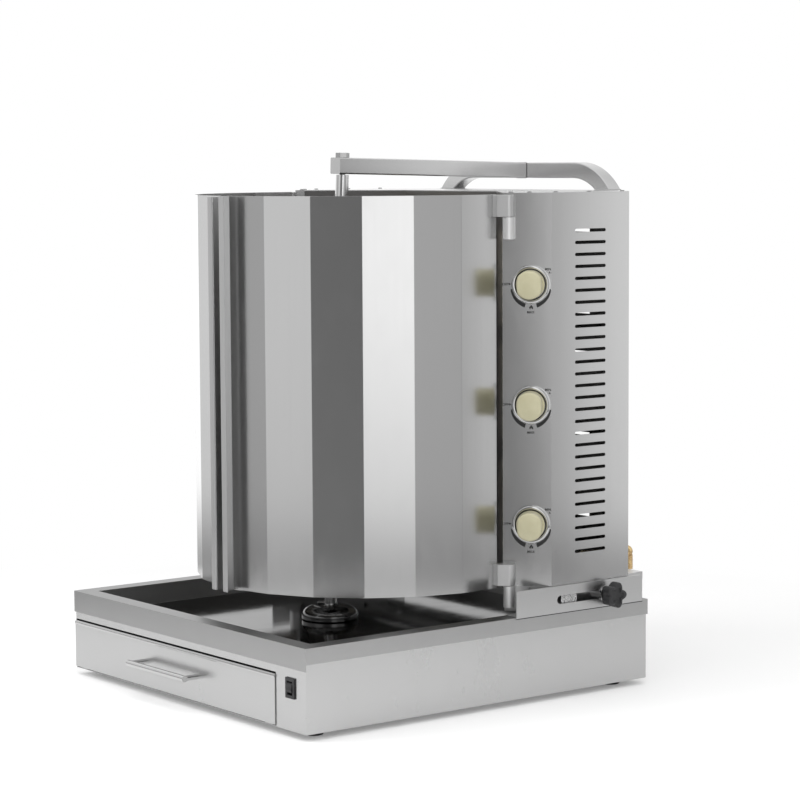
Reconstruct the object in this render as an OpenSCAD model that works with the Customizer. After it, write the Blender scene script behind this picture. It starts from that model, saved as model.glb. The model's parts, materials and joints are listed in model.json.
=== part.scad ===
// Gas doner kebab grill: a base with a grease tray and drawer, a turning spit on a splash dome,
// a burner tower that slides on rollers, and two faceted doors hung on the tower.
// x runs to the right, y to the back, z up; the doors' circle is centred on x = y = 0.

/* [Base] */
// Width over the tray's skirt
base_w = 640; // [620:1:680]
// Depth of the tray, front to back
base_d = 657; // [645:1:690]
// How far the tray's front stands ahead of the doors' centre
front_reach = 350.7; // [345:0.1:365]
// Height of the tray's rim above the table
rim_z = 135; // [130:1:165]
// Flat width of the tray's rim
rim_w = 28; // [26:1:30]
// Depth of the tray below its rim
tray_depth = 32; // [31:1:34]
// Thickness of the base's sheet metal
sheet = 1.2; // [1:0.1:1.5]
// Height of the tray's skirt at the sides and back
skirt_h = 24; // [18:1:28]
// Height of the tray's front apron
apron_h = 34; // [30:1:36]
// How far the skirt stands proud of the casing
skirt_proud = 2; // [1.7:0.1:2.2]
// Height of a foot
foot_h = 10; // [8:1:16]
// Radius of a foot
foot_r = 18; // [14:1:22]
// Distance from a foot's centre to the casing's sides
foot_inset = 40; // [30:1:50]

/* [Drawer] */
// Height of the drawer's front
drawer_front_h = 75; // [65:1:76]
// Width of the panel beside the drawer, which carries the switch
switch_panel_w = 75; // [65:1:90]
// Depth of the drawer's box
drawer_box_d = 182; // [150:1:190]
// Height of the drawer's box
drawer_box_h = 60; // [40:1:62]
// Side gap between the drawer's box and the casing
drawer_side_gap = 17; // [15:1:20]
// Radius of the rolled bead on the drawer's front
bead_r = 4; // [3:0.5:5]
// Length of the drawer's handle
handle_l = 160; // [120:1:200]
// How far the handle's bar stands ahead of the drawer's front
handle_reach = 24; // [20:1:28]
// Radius of the handle's bar
handle_r = 5; // [4:0.5:6]

/* [Spit drive] */
// How far the spit's foot stands ahead of the doors' centre
foot_y = -75.6; // [-80:0.1:-70]
// Radius of the splash dome
dome_r = 44.5; // [40:0.5:50]
// Radius of the drive shaft
shaft_r = 8; // [7.5:0.5:8.5]
// Width of the gearbox
gearbox_w = 80; // [70:1:90]
// Height of the gearbox
gearbox_h = 50; // [45:1:55]
// Radius of the motor
motor_r = 27; // [24:1:27]
// Length of the motor
motor_l = 110; // [90:1:130]
// Radius of the thrust ball under the spit
ball_r = 5; // [4:0.5:6]

/* [Spit] */
// Radius of the spit's rod
spit_r = 10.4; // [9.5:0.1:11]
// How far the spit leans back while the tower stands at its rear stop
spit_lean = 2.55; // [2:0.05:3]
// Radius of the meat plate
plate_r = 90; // [70:1:110]
// Height of the meat plate above the spit's foot
plate_rise = 80; // [70:1:110]
// Radius of the spit's cross pin
cross_pin_r = 2.3; // [2:0.1:2.6]

/* [Tower] */
// Width over the tower's side panels
tower_w = 641; // [640.6:0.1:642]
// Width of each slanted knob panel
panel_w = 73.7; // [70:0.1:78]
// How far the door edge of a knob panel stands behind the doors' centre
panel_y = 54.8; // [50:0.1:60]
// How far back the flat sides run
side_y = 264; // [260:1:275]
// How far back the rear cover stands
rear_y = 347; // [345:0.5:352]
// Width of the rear cover
rear_w = 428; // [420:1:440]
// Width of the burner wall
burner_wall_w = 232; // [226:1:244]
// How far back the burner wall stands
burner_wall_y = 170; // [165:1:180]
// Height of the casing's lower edge above the rim
casing_rise = 41.2; // [41:0.1:44]
// Height of the tower's top above the rim
top_rise = 636; // [632:1:650]
// Thickness of the top plate
top_t = 1.5; // [1.2:0.1:2]
// Number of vent slots in each side
vent_count = 28; // [10:1:28]
// Spacing of the vent slots
vent_pitch = 18.1; // [16:0.1:18.4]
// Length of a vent slot
vent_l = 62; // [40:1:70]
// Height of a vent slot
vent_h = 5; // [4:0.5:6]
// Height of the lowest vent slot above the rim
vent_low = 89.5; // [80:0.5:100]
// How far back the front end of the vent slots lies
vent_y = 154; // [145:1:165]

/* [Slide] */
// How far the tower slides forward
tower_travel = 90; // [60:1:90]
// How far back the front end of a slide bracket lies
bracket_y = 36.4; // [34:0.1:40]
// Length of a slide bracket
bracket_l = 256.3; // [252:0.1:262]
// Height of a slide bracket above the rim
bracket_h = 40.2; // [39:0.1:40.6]
// Thickness of a slide bracket
bracket_t = 2; // [1.5:0.1:2.5]
// Height of the slot's centre above the rim
slot_rise = 18.5; // [18:0.1:19]
// Height of the slot
slot_h = 12.7; // [10:0.1:14]
// Radius of a roller
roller_r = 16.2; // [15.8:0.1:16.3]
// Width of a roller
roller_w = 14; // [10:1:15]
// How far back the front rollers stand
front_roller_y = 144.5; // [140:0.5:150]
// How far back the rear rollers stand
rear_roller_y = 268; // [262:1:270]
// How far back the clamp knobs stand
clamp_y = 215.7; // [212:0.1:220]
// Radius of a clamp knob over its lobes
clamp_r = 20.5; // [18:0.5:22]

/* [Doors] */
// Radius to the corners of the doors' facets
door_r = 270.5; // [268:0.1:271]
// Number of facets in a whole circle of the doors
door_facets = 22; // [20:1:24]
// Angle of the first facet corner from straight ahead
first_corner = 19.24; // [18:0.01:20]
// Height of the doors' lower edge above the rim
door_low = 37.7; // [32:0.1:40]
// Height of the doors
door_h = 595.6; // [580:0.1:597]
// Thickness of the doors' sheet
door_t = 1.5; // [1:0.1:2]
// How far back the doors' hinge edge lies
door_end_y = 45; // [42:0.1:46]
// Width between the two door grips
grip_gap = 19; // [15:0.5:24]
// How far a grip stands ahead of the door
grip_depth = 20; // [14:0.5:24]
// Width of the right grip's lip
right_lip = 14; // [10:0.5:18]
// Width of the left grip's lip
left_lip = 10; // [8:0.5:16]
// Thickness of the grips' sheet
grip_t = 1.2; // [1:0.1:1.5]

/* [Hinges] */
// Radius of a hinge barrel
barrel_r = 8.5; // [8:0.1:8.8]
// Distance from the panel's edge to the hinge's axis, along the panel
hinge_along = 10; // [9:0.1:12]
// Distance from the panel's face to the hinge's axis
hinge_off = 9.5; // [9.4:0.1:10.5]
// Radius of a hinge pin
hinge_pin_r = 4; // [3:0.1:4.5]
// Height of a tower hinge block
tower_block_h = 33; // [28:0.5:34]
// Height of the lower tower hinge blocks above the rim
low_block_rise = 9.4; // [8:0.1:10]
// Height of the upper tower hinge blocks above the rim
high_block_rise = 566.5; // [540:0.5:568]

/* [Gas] */
// Height of the lowest gas knob above the rim
knob_low = 135.4; // [130:0.1:140]
// Spacing of the gas knobs
knob_pitch = 181.65; // [178:0.05:184]
// Distance from the panel's door edge to the gas knobs' axis
knob_along = 42.7; // [41:0.1:43.5]
// Radius of a gas knob
knob_r = 21.6; // [20:0.1:23]
// How far a gas knob stands out from the panel
knob_reach = 38; // [30:0.5:40]
// Width of a gas knob across its flats
knob_flats = 37.6; // [28:0.1:40]
// Outer radius of the ring round a gas knob
ring_r = 28.9; // [28:0.1:29.5]
// Height of the ring round a gas knob
ring_h = 8; // [6:0.5:10]
// Radius of a valve's stem
stem_r = 4; // [3:0.1:5]
// How far a gas knob is pushed in to turn
push_in = 3; // [2:0.1:3]
// Width of a burner's opening
burner_w = 200; // [190:1:202]
// Height of a burner's opening
burner_h = 150; // [130:1:152]
// Radius of the gas supply pipe
pipe_r = 9; // [8:0.5:9.5]
// Distance of the gas inlet from the tower's middle
inlet_x = 199; // [195:1:200]
// Radius of the gas inlet's threaded leg
inlet_r = 10.5; // [9:0.1:11]

/* [Arch and arm] */
// Side of the arch's square tube
tube_w = 25.3; // [24:0.1:26]
// Distance from the rear cover's side to where the arch's straight top ends
arch_end_in = 88.2; // [84:0.1:104]
// Outer radius of the arch's bends
arch_bend_r = 110; // [100:1:112]
// Height of the arch above the tower's top
arch_rise = 44; // [42:0.5:46]
// Distance from the arch's back to the rear cover's face
arch_back_gap = 2; // [1:0.5:4]
// Upward slope of the arm
arm_slope = 1.475; // [1:0.025:2]
// How far the arm's end stands ahead of the doors' centre
arm_end = 58.6; // [57:0.1:64]
// Width of the hexagon on the arm across its corners
hex_w = 22; // [20:0.1:24]

/* [Hidden] */

// Clearances and overruns
cut = 1;             // overrun of every cutting tool
slip = 0.05;         // radial clearance of a running fit
seat = 0.3;          // gap between pieces that stand beside each other
eps = 0.01;          // joins solids that share a face

// Levels above the table
casing_z = rim_z + casing_rise;
top_z = rim_z + top_rise;
plate_z = top_z - top_t;
tray_floor_z = rim_z - tray_depth;
front_rail_h = 12;
drawer_top_z = rim_z - apron_h - front_rail_h;

// Base casing
base_x = base_w / 2;
base_back = base_d - front_reach;
case_x = base_x - skirt_proud;
case_front = skirt_proud - front_reach;
case_back = base_back - skirt_proud;
case_top = rim_z - sheet;
bay_x = case_x - switch_panel_w;
drain_r = 12;
collar_wall = 6;
collar_r = shaft_r + collar_wall;
collar_h = 2.5;

// Drawer
front_t = 1.5;
front_gap = 0.5;
front_gap_z = 1;
drawer_left_x = drawer_side_gap - case_x;
drawer_right_x = bay_x - drawer_side_gap;
drawer_mid_x = (drawer_left_x + drawer_right_x) / 2;
box_front = front_t - front_reach;
drain_in = 40;
drain_x = drawer_right_x - drain_in;
drain_ahead = 151.2;
drain_y = foot_y - drain_ahead;
ledge_h = 4.7;
ledge_w = 12;
guide_w = 3;
guide_h = 22;
box_z = foot_h + sheet + ledge_h + seat;
front_low_z = drawer_top_z - drawer_front_h - front_gap_z;
handle_z = (front_low_z + drawer_top_z) / 2;
post_step = 1;
handle_post_r = handle_r - post_step;

// Switch
switch_x = case_x - switch_panel_w / 2;
switch_z = (foot_h + rim_z) / 2;
switch_w = 22;
switch_h = 30;
switch_hole_w = 15;
switch_hole_h = 22;
switch_t = 2.5;
switch_body_d = 15;
switch_tilt = 8;
rocker_r = 9;
rocker_w = switch_hole_w - 2 * front_gap;
rocker_gap = 1;
rocker_lift = 4;
rocker_dip = 1.5;

// Power gland
gland_x = -200;
gland_z = 60;
gland_hex = 26;
gland_nut_h = 5;
gland_neck_r = 9;
gland_dome_h = 12;
gland_bore_r = 4;

// Spit drive
pivot_drop = 19;
pivot_z = rim_z - pivot_drop;
shaft_over = 1.4;
shaft_top_z = pivot_z + shaft_over;
cup_gap = 0.3;
flange_t = 3;
flange_ear = 18;
flange_w = gearbox_w + 2 * flange_ear;
gearbox_top_z = tray_floor_z - sheet - flange_t;
motor_z = gearbox_top_z - gearbox_h / 2;
seal_lip = 3;
seal_t = 1.5;
dome_drop = 9;
dome_top_z = rim_z - dome_drop;
dome_h = 22;
dome_low_z = dome_top_z - dome_h;
dome_side_h = 5;
dome_crown_r = 18;
dome_wall = 2;
hub_r = 16;
hub_low_z = tray_floor_z + collar_h + seal_t + front_gap;
spit_room = 1.3;
cross_pin_drop = 7.5;
cross_pin_z = rim_z - cross_pin_drop;
cross_pin_l = 20;
cross_pin_stub = 1.2;
cross_pin_back = spit_r + cross_pin_stub;
cross_pin_turn = 50;
pin_slot_w = 8;
pin_slot_room = 2.2;
dome_steps = 10;

// Spit
foot_rise = 3;
spit_gap = 1.5;
arch_mid_z = top_z + arch_rise - tube_w / 2;
arch_flat = rear_w / 2 - arch_end_in;
arch_front = rear_y - arch_back_gap - tube_w;
under_z = arch_mid_z - tube_w / 2 / cos(arm_slope);
spit_top_z = (under_z - spit_gap + tan(arm_slope)
    * (arch_front - foot_y + tan(spit_lean) * pivot_z)) / (1 + tan(arm_slope) * tan(spit_lean));
spit_top_y = foot_y + tan(spit_lean) * (spit_top_z - pivot_z);
spit_l = (spit_top_z - pivot_z) / cos(spit_lean);
spit_bore_r = 6.2;
spit_bore_d = 22;
plate_t = 4;
plate_hub_r = 18;
plate_hub_h = 20;
plate_lip = 4;
plate_fit = 0.2;

// Arm and top bolt
arm_l = (arch_front + arm_end) / cos(arm_slope);
tube_wall = 2;
tube_corner = 2;
corner_steps = 3;
bolt_r = 6;
bolt_head_h = 7.5;
dog_r = 4;
dog_l = 14;
dog_gap = 1;
bolt_low = tube_w / 2 + spit_gap;
bolt_s = (arch_front - spit_top_y - bolt_low * sin(arm_slope)) / cos(arm_slope);

// Tower outline: a knob panel's door edge, its outer edge, the side's rear edge, the rear corner
side_x = tower_w / 2;
panel_run = panel_w * sin(45);
edge_a = [side_x - panel_run, panel_y];
edge_b = [side_x, panel_y + panel_run];
edge_c = [side_x, side_y];
edge_d = [rear_w / 2, rear_y];
edge_e = [burner_wall_w / 2, burner_wall_y];
along = [sin(45), sin(45)];
outward = [sin(45), -sin(45)];
wing_dir = (edge_e - edge_a) / norm(edge_e - edge_a);
casing_lip = 16;
rear_flange = 10;
casing_t = 1.2;
wing_gap = 0.2;
frame_inset = 1.9;

// Slide
frame_t = 2;
rail_in = 4;
rail_x = base_x - rim_w + rail_in;
rail_z = rim_z + bracket_t + seat;
rail_over = 8;
rail_back = bracket_y + bracket_l + rail_over;
skirt_plate_in = 3;
skirt_plate_x = base_x - skirt_plate_in;
skirt_plate_start = 2;
cross_bar_w = 30;
cross_bar_h = 12;
bracket_foot = 24;
bracket_drop = 1.9;
bracket_corner = 6;
slot_z = rim_z + slot_rise;
slot_end_room = 8.3;
slot_front = clamp_y - tower_travel - slot_end_room;
slot_spare = 2;
slot_back = clamp_y + slot_end_room + slot_spare;
roller_in = 1.5;
roller_x = base_x - roller_in;
axle_r = 5;
axle_end = 1;
clamp_stud_r = 4;
clamp_boss_r = 10;
washer_r = 12;
washer_t = 2.3;
clamp_hub_r = 9;
clamp_hub_h = 7;
clamp_head_h = 18;
clamp_lobes = 5;
clamp_lobe_r = 6.5;
clamp_gap = 0.2;
clamp_stud_in = 22;

// Doors
function corner(k) = let (a = first_corner + k * 360 / door_facets)
    door_r * [sin(a), -cos(a)];
function between(p, q, share) = p + (q - p) * share;
door_corners = 5;
last_from = corner(door_corners - 1);
last_to = corner(door_corners);
door_stop = between(last_from, last_to,
    (door_end_y - last_from.y) / (last_to.y - last_from.y));
last_dir = (door_stop - last_from) / norm(door_stop - last_from);
first_to = corner(-1);
function on_first(x) = between(corner(0), first_to, (corner(0).x - x) / (corner(0).x - first_to.x));
door_z = rim_z + door_low;
grip_step = 0.8;
grip_front = grip_step - door_r - grip_depth;
grip_base = 17;
grip_drop = 1.5;
bend_r = 2;
bend_steps = 4;

// Hinges
hinge_at = edge_a + along * hinge_along + outward * hinge_off;
hinge_gap = 0.7;
door_block_h = 32.6;
door_block_in = 6.65;
door_block_gap = 1;
door_block_out = 18;
door_block_leaf = 8;
pin_floor = 6;
pin_roof = 5;

// Gas
knobs = [for (k = [0:2]) rim_z + knob_low + k * knob_pitch];
knob_at = edge_a + along * knob_along;
ring_gap = 1.9;
ring_hole_r = knob_r + ring_gap;
ring_slope = 1;
ring_round = 2.5;
stem_in = 22;
stem_out = 16;
stem_room = 1;
knob_gap = 1.2;
knob_back = push_in + knob_gap;
knob_base_h = 9;
knob_wall = 0.3;
valve_l = 34;
valve_r = 14;
valve_bore_d = 26;
valve_room = 0.2;
manifold_depth = casing_t + valve_l + pipe_r + valve_room;
manifold_at = knob_at - outward * manifold_depth;
feed_rise = 54.5;
feed_z = rim_z + feed_rise;
feed_in = 20;
feed_front_y = rear_y - feed_in;
feed_behind = 16;
feed_turn_y = side_y + feed_behind;
pipe_hole_gap = 0.6;
branch_r = 4;
elbow_bulge = 1;
branch_start = knob_at - outward * (casing_t + valve_l / 2) - along * (valve_r + branch_r);
branch_run = [-24, 4.5];
branch_turn = branch_start + branch_run;
branch_in = 20;
branch_behind = 30;
branch_y = burner_wall_y + branch_behind;
housing_d = 60;
housing_wall = 1.5;
housing_lip = 7;
housing_extra = 5;
plaque_t = 13;
plaque_gap = 0.3;
plaque_back = 2;
ledge_in = 5;
guard_wire = 2;
guard_columns = 9;
guard_rows = 7;
guard_gap = 1.5;
thermo_r = 2.5;
thermo_l = 44;
thermo_drop = 11;
thermo_x = 60;
thermo_front = 12;
elbow_reach = 25;
elbow_y = rear_y + elbow_reach;
elbow_r = 10;
leg_l = 28;
leg_bore_r = 6;
leg_threads = 8;
thread_depth = 0.8;
inlet_neck_r = 8;
inlet_nut = 26;
inlet_nut_h = 7;

// Top plate's screws and slot
screw_in = 12.5;
screw_head_r = 3.5;
screw_head_h = 1.8;
screw_r = 2;
screw_l = 7;
side_screws = [19, 86, 154];
panel_screws = [40, 12];
panel_screw_in = 9;
screw_places = concat([for (y = side_screws) [side_x - screw_in, edge_b.y + y]],
    [for (s = panel_screws) edge_a + along * s - outward * panel_screw_in]);
plate_slot_x = -300;
plate_slot_y = 215;
plate_slot_l = 30;
plate_slot_w = 4;

$fn = 48;

// Points a distance t to the left of an open path, with mitred corners
function left_of(v) = [-v.y, v.x] / norm(v);
function shifted(p, t) = [for (i = [0:len(p) - 1])
    let (b = i < len(p) - 1 ? left_of(p[i + 1] - p[i]) : left_of(p[i] - p[i - 1]),
        a = i > 0 ? left_of(p[i] - p[i - 1]) : b,
        m = a + b)
    p[i] + m * (2 * t / (m * m))];
function reversed(p) = [for (i = [len(p) - 1:-1:0]) p[i]];
function flipped(p) = [for (q = p) [-q.x, q.y]];
function arc(c, r, a0, a1, n) = [for (i = [0:n]) let (a = a0 + (a1 - a0) * i / n)
    c + r * [cos(a), sin(a)]];
function rounded(w, h, r, n) = concat(
    arc([w / 2 - r, h / 2 - r], r, 0, 90, n), arc([r - w / 2, h / 2 - r], r, 90, 180, n),
    arc([r - w / 2, r - h / 2], r, 180, 270, n), arc([w / 2 - r, r - h / 2], r, 270, 360, n));

// Sheet metal bent along a path, t thick on the path's left
module strip(path, t, h) linear_extrude(h) polygon(concat(path, reversed(shifted(path, t))));

module both_sides() {
    children();
    mirror([1, 0, 0]) children();
}

// A block between two opposite corners
module block(low, high) translate(low) cube(high - low);

module tube_between(p, q, r) {
    v = q - p;
    translate(p) rotate([0, acos(v.z / norm(v)), atan2(v.y, v.x)]) cylinder(r = r, h = norm(v));
}

// Turns z to point straight out of the right knob panel, at height z
module on_panel(z) translate([knob_at.x, knob_at.y, z]) rotate([0, 90, -45]) children();

// Puts a child at the panel's door edge, x along the panel and -y outward
module at_edge(z) translate([edge_a.x, edge_a.y, z]) rotate(45) children();

module base_casing() {
    color("silver") difference() {
        block([-case_x, case_front, foot_h], [case_x, case_back, case_top]);
        block([sheet - case_x, case_front + sheet, foot_h - cut],
            [case_x - sheet, case_back - sheet, case_top + cut]);
        block([sheet - case_x, case_front - cut, foot_h - cut],
            [bay_x, case_front + sheet + cut, drawer_top_z + cut]);
        translate([switch_x, case_front, switch_z])
            block([-switch_hole_w / 2, -cut, -switch_hole_h / 2],
                [switch_hole_w / 2, sheet + cut, switch_hole_h / 2]);
        translate([gland_x, case_back + cut, gland_z]) rotate([90, 0, 0])
            cylinder(r = gland_neck_r + slip, h = sheet + 2 * cut);
    }
}

module bottom_plate() {
    color("silver") block([sheet - case_x, case_front + sheet, foot_h],
        [case_x - sheet, case_back - sheet, foot_h + sheet]);
}

module grease_tray() {
    well_x = base_x - rim_w;
    well_front = rim_w - front_reach;
    well_back = base_back - rim_w;
    color("lightgray") difference() {
        union() {
            block([-base_x, -front_reach, rim_z - skirt_h], [base_x, base_back, rim_z]);
            block([-base_x, -front_reach, rim_z - apron_h], [base_x, sheet - front_reach, rim_z]);
            block([-well_x - sheet, well_front - sheet, tray_floor_z - sheet],
                [well_x + sheet, well_back + sheet, rim_z]);
            translate([0, foot_y, tray_floor_z]) cylinder(r = collar_r + sheet, h = collar_h);
        }
        block([-well_x, well_front, tray_floor_z + collar_h], [well_x, well_back, rim_z + cut]);
        difference() {
            block([-well_x, well_front, tray_floor_z], [well_x, well_back, rim_z]);
            translate([0, foot_y, 0]) cylinder(r = collar_r + sheet, h = rim_z);
        }
        difference() {
            block([sheet - base_x, sheet - front_reach, rim_z - skirt_h - cut],
                [base_x - sheet, base_back - sheet, rim_z - sheet]);
            block([-well_x - sheet, well_front - sheet, tray_floor_z - sheet],
                [well_x + sheet, well_back + sheet, rim_z]);
        }
        translate([0, foot_y, tray_floor_z - 2 * sheet]) cylinder(r = collar_r, h = tray_depth);
        translate([drain_x, drain_y, tray_floor_z - 2 * sheet])
            cylinder(r = drain_r, h = 3 * sheet);
    }
}

module feet() {
    foot_taper = 3;
    color("black") for (x = [-1, 1] * (case_x - foot_inset),
            y = [case_front + foot_inset, case_back - foot_inset])
        translate([x, y, 0]) cylinder(r1 = foot_r - foot_taper, r2 = foot_r, h = foot_h);
}

module drawer_runners() {
    z = foot_h + sheet;
    color("gray") for (s = [0, 1])
        translate([drawer_mid_x, 0, 0]) mirror([s, 0, 0]) translate([-drawer_mid_x, 0, 0])
        difference() {
            union() {
                block([sheet - case_x, case_front + sheet + seat, z],
                    [drawer_left_x + ledge_w, box_front + drawer_box_d, z + ledge_h]);
                block([drawer_left_x - guide_w - seat, case_front + sheet + seat, z],
                    [drawer_left_x - seat, box_front + drawer_box_d, z + guide_h]);
            }
            block([2 * sheet - case_x, case_front, z - cut],
                [drawer_left_x - guide_w - sheet, box_front + drawer_box_d + cut,
                    z + ledge_h - sheet]);
        }
}

module slide_bracket() {
    back = bracket_y + bracket_l;
    color("silver") difference() {
        union() {
            block([base_x, bracket_y, rim_z - bracket_drop],
                [base_x + bracket_t, back, rim_z + bracket_h - bracket_corner]);
            block([base_x, bracket_y, rim_z],
                [base_x + bracket_t, back - bracket_corner, rim_z + bracket_h]);
            translate([base_x, back - bracket_corner, rim_z + bracket_h - bracket_corner])
                rotate([0, 90, 0]) cylinder(r = bracket_corner, h = bracket_t);
            block([base_x - bracket_foot, bracket_y, rim_z],
                [base_x + eps, back, rim_z + bracket_t]);
        }
        for (y = [slot_front + slot_h / 2, slot_back - slot_h / 2])
            translate([base_x - cut, y, slot_z]) rotate([0, 90, 0])
                cylinder(d = slot_h, h = bracket_t + 2 * cut);
        block([base_x - cut, slot_front + slot_h / 2, slot_z - slot_h / 2],
            [base_x + bracket_t + cut, slot_back - slot_h / 2, slot_z + slot_h / 2]);
    }
}

module slide_bracket_right() slide_bracket();

module slide_bracket_left() mirror([1, 0, 0]) slide_bracket();

module drive_gearbox() {
    color("dimgray") difference() {
        union() {
            translate([-flange_w / 2, foot_y - gearbox_w / 2, gearbox_top_z])
                cube([flange_w, gearbox_w, flange_t]);
            translate([-gearbox_w / 2, foot_y - gearbox_w / 2, gearbox_top_z - gearbox_h])
                cube([gearbox_w, gearbox_w, gearbox_h + eps]);
        }
        translate([0, foot_y, gearbox_top_z - gearbox_h / 2])
            cylinder(r = shaft_r + slip, h = gearbox_h);
    }
}

module drive_motor() {
    cap_h = 12;
    front_step = 7;
    rear_step = 3;
    y = foot_y + gearbox_w / 2;
    color("dimgray") translate([0, y, motor_z]) rotate([-90, 0, 0]) {
        cylinder(r = motor_r - front_step, h = cap_h);
        translate([0, 0, cap_h - eps]) cylinder(r = motor_r, h = motor_l - 2 * cap_h);
        translate([0, 0, motor_l - cap_h - 2 * eps]) cylinder(r = motor_r - rear_step, h = cap_h);
    }
}

module shaft_seal() {
    color("black") translate([0, foot_y, 0]) difference() {
        union() {
            translate([0, 0, tray_floor_z - sheet])
                cylinder(r = collar_r - slip, h = sheet + collar_h + eps);
            translate([0, 0, tray_floor_z + collar_h])
                cylinder(r = collar_r + seal_lip, h = seal_t);
        }
        translate([0, 0, tray_floor_z - 2 * sheet]) cylinder(r = shaft_r + slip, h = tray_depth);
    }
}

module power_gland() {
    inner = case_back - sheet - gland_nut_h;
    neck_l = sheet + 2 * gland_nut_h + gland_dome_h;
    color("black") translate([gland_x, inner, gland_z]) rotate([-90, 0, 0]) difference() {
        union() {
            cylinder(d = gland_hex, h = gland_nut_h, $fn = 6);
            cylinder(r = gland_neck_r, h = neck_l);
            translate([0, 0, gland_nut_h + sheet])
                cylinder(d = gland_hex, h = gland_nut_h, $fn = 6);
        }
        translate([0, 0, -cut]) cylinder(r = gland_bore_r, h = neck_l + 2 * cut);
    }
}

module switch_frame() {
    wall = 1;
    color("black") translate([switch_x, case_front, switch_z]) difference() {
        union() {
            block([-switch_w / 2, -switch_t, -switch_h / 2], [switch_w / 2, 0, switch_h / 2]);
            block([wall - switch_hole_w / 2 - wall, -eps, -switch_hole_h / 2],
                [switch_hole_w / 2, switch_body_d, switch_hole_h / 2]);
        }
        block([wall - switch_hole_w / 2, -switch_t - cut, wall - switch_hole_h / 2],
            [switch_hole_w / 2 - wall, switch_body_d - wall, switch_hole_h / 2 - wall]);
    }
}

module switch_rocker() {
    side = rocker_w - 2 * rocker_gap;
    color("black") translate([switch_x, case_front + rocker_lift, switch_z])
        rotate([-switch_tilt, 0, 0]) intersection() {
            translate([-side / 2, 0, 0]) rotate([0, 90, 0]) cylinder(r = rocker_r, h = side);
            union() for (s = [0, 1]) mirror([0, 0, s]) rotate([switch_tilt, 0, 0])
                translate([-side, rocker_dip - rocker_r, -rocker_dip])
                    cube([2 * side, 2 * rocker_r, 2 * rocker_r]);
        }
}

module drawer_box() {
    color("lightgray") difference() {
        block([drawer_left_x, box_front, box_z],
            [drawer_right_x, box_front + drawer_box_d, box_z + drawer_box_h]);
        block([drawer_left_x + sheet, box_front + sheet, box_z + sheet],
            [drawer_right_x - sheet, box_front + drawer_box_d - sheet, box_z + drawer_box_h + cut]);
    }
}

module drawer_front() {
    bead_step = 1;
    bead_z = drawer_top_z - front_gap_z - bead_r;
    color("silver") {
        block([front_gap - case_x, -front_reach, front_low_z],
            [bay_x - front_gap, box_front, bead_z]);
        translate([front_gap - case_x, bead_r - bead_step - front_reach, bead_z]) rotate([0, 90, 0])
            intersection() {
                cylinder(r = bead_r, h = case_x + bay_x - 2 * front_gap);
                translate([-bead_r, -bead_r, 0])
                    cube([2 * bead_r, front_t + bead_step, case_x + bay_x - 2 * front_gap]);
            }
    }
}

module drawer_handle() {
    post_x = handle_l / 2 - handle_r;
    y = -front_reach - handle_reach;
    color("silver") {
        translate([drawer_mid_x - handle_l / 2, y, handle_z]) rotate([0, 90, 0])
            cylinder(r = handle_r, h = handle_l);
        for (x = [-post_x, post_x])
            translate([drawer_mid_x + x, -front_reach, handle_z]) rotate([90, 0, 0])
                cylinder(r = handle_post_r, h = handle_reach);
    }
}

module drive_shaft() {
    low = gearbox_top_z - gearbox_h / 2 + seat;
    color("silver") translate([0, foot_y, 0]) difference() {
        translate([0, 0, low]) cylinder(r = shaft_r, h = shaft_top_z - low);
        translate([0, 0, pivot_z]) sphere(r = ball_r + cup_gap);
    }
}

// Half section of the splash dome
dome_curve = [for (i = [0:dome_steps]) let (a = 90 * (1 - i / dome_steps))
    [dome_crown_r + (dome_r - dome_crown_r) * cos(a),
        dome_low_z + dome_side_h + (dome_top_z - dome_low_z - dome_side_h) * sin(a)]];
dome_inside = [for (i = [0:dome_steps]) let (a = 90 * i / dome_steps)
    [hub_r + (dome_r - dome_wall - hub_r) * cos(a),
        dome_low_z + dome_side_h + (dome_top_z - dome_low_z - dome_side_h - 3 * dome_wall) * sin(a)]];

module splash_dome() {
    reach = cross_pin_l + spit_room;
    slot_low = cross_pin_z - cross_pin_r - pin_slot_room;
    color("dimgray") translate([0, foot_y, 0]) difference() {
        rotate_extrude($fn = 96) polygon(concat(
            [[shaft_r + slip, hub_low_z], [shaft_r + slip, shaft_top_z],
                [spit_r + spit_room, shaft_top_z], [spit_r + spit_room, dome_top_z]],
            dome_curve, [[dome_r, dome_low_z], [dome_r - dome_wall, dome_low_z]],
            dome_inside, [[hub_r, hub_low_z]]));
        rotate(cross_pin_turn) block([-reach, -pin_slot_w / 2, slot_low],
            [cross_pin_back + spit_room, pin_slot_w / 2, dome_top_z + cut]);
    }
}

module thrust_ball() {
    color("silver") translate([0, foot_y, pivot_z]) sphere(r = ball_r);
}

// Puts a child on the spit's axis, z up along it from the pivot
module on_spit() translate([0, foot_y, pivot_z]) rotate([-spit_lean, 0, 0]) children();

module spit_rod() {
    color("silver") on_spit() difference() {
        translate([0, 0, foot_rise]) cylinder(r = spit_r, h = spit_l - foot_rise);
        sphere(r = ball_r + cup_gap);
        translate([0, 0, spit_l - spit_bore_d]) cylinder(r = spit_bore_r, h = spit_bore_d + cut);
        translate([0, 0, cross_pin_z - pivot_z]) rotate([90, 0, cross_pin_turn + 90])
            translate([0, 0, -2 * spit_r]) cylinder(r = cross_pin_r + slip, h = 4 * spit_r);
    }
}

module cross_pin() {
    color("silver") on_spit() translate([0, 0, cross_pin_z - pivot_z]) rotate(cross_pin_turn)
        rotate([0, 90, 0]) translate([0, 0, -cross_pin_l])
            cylinder(r = cross_pin_r, h = cross_pin_l + cross_pin_back);
}

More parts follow.
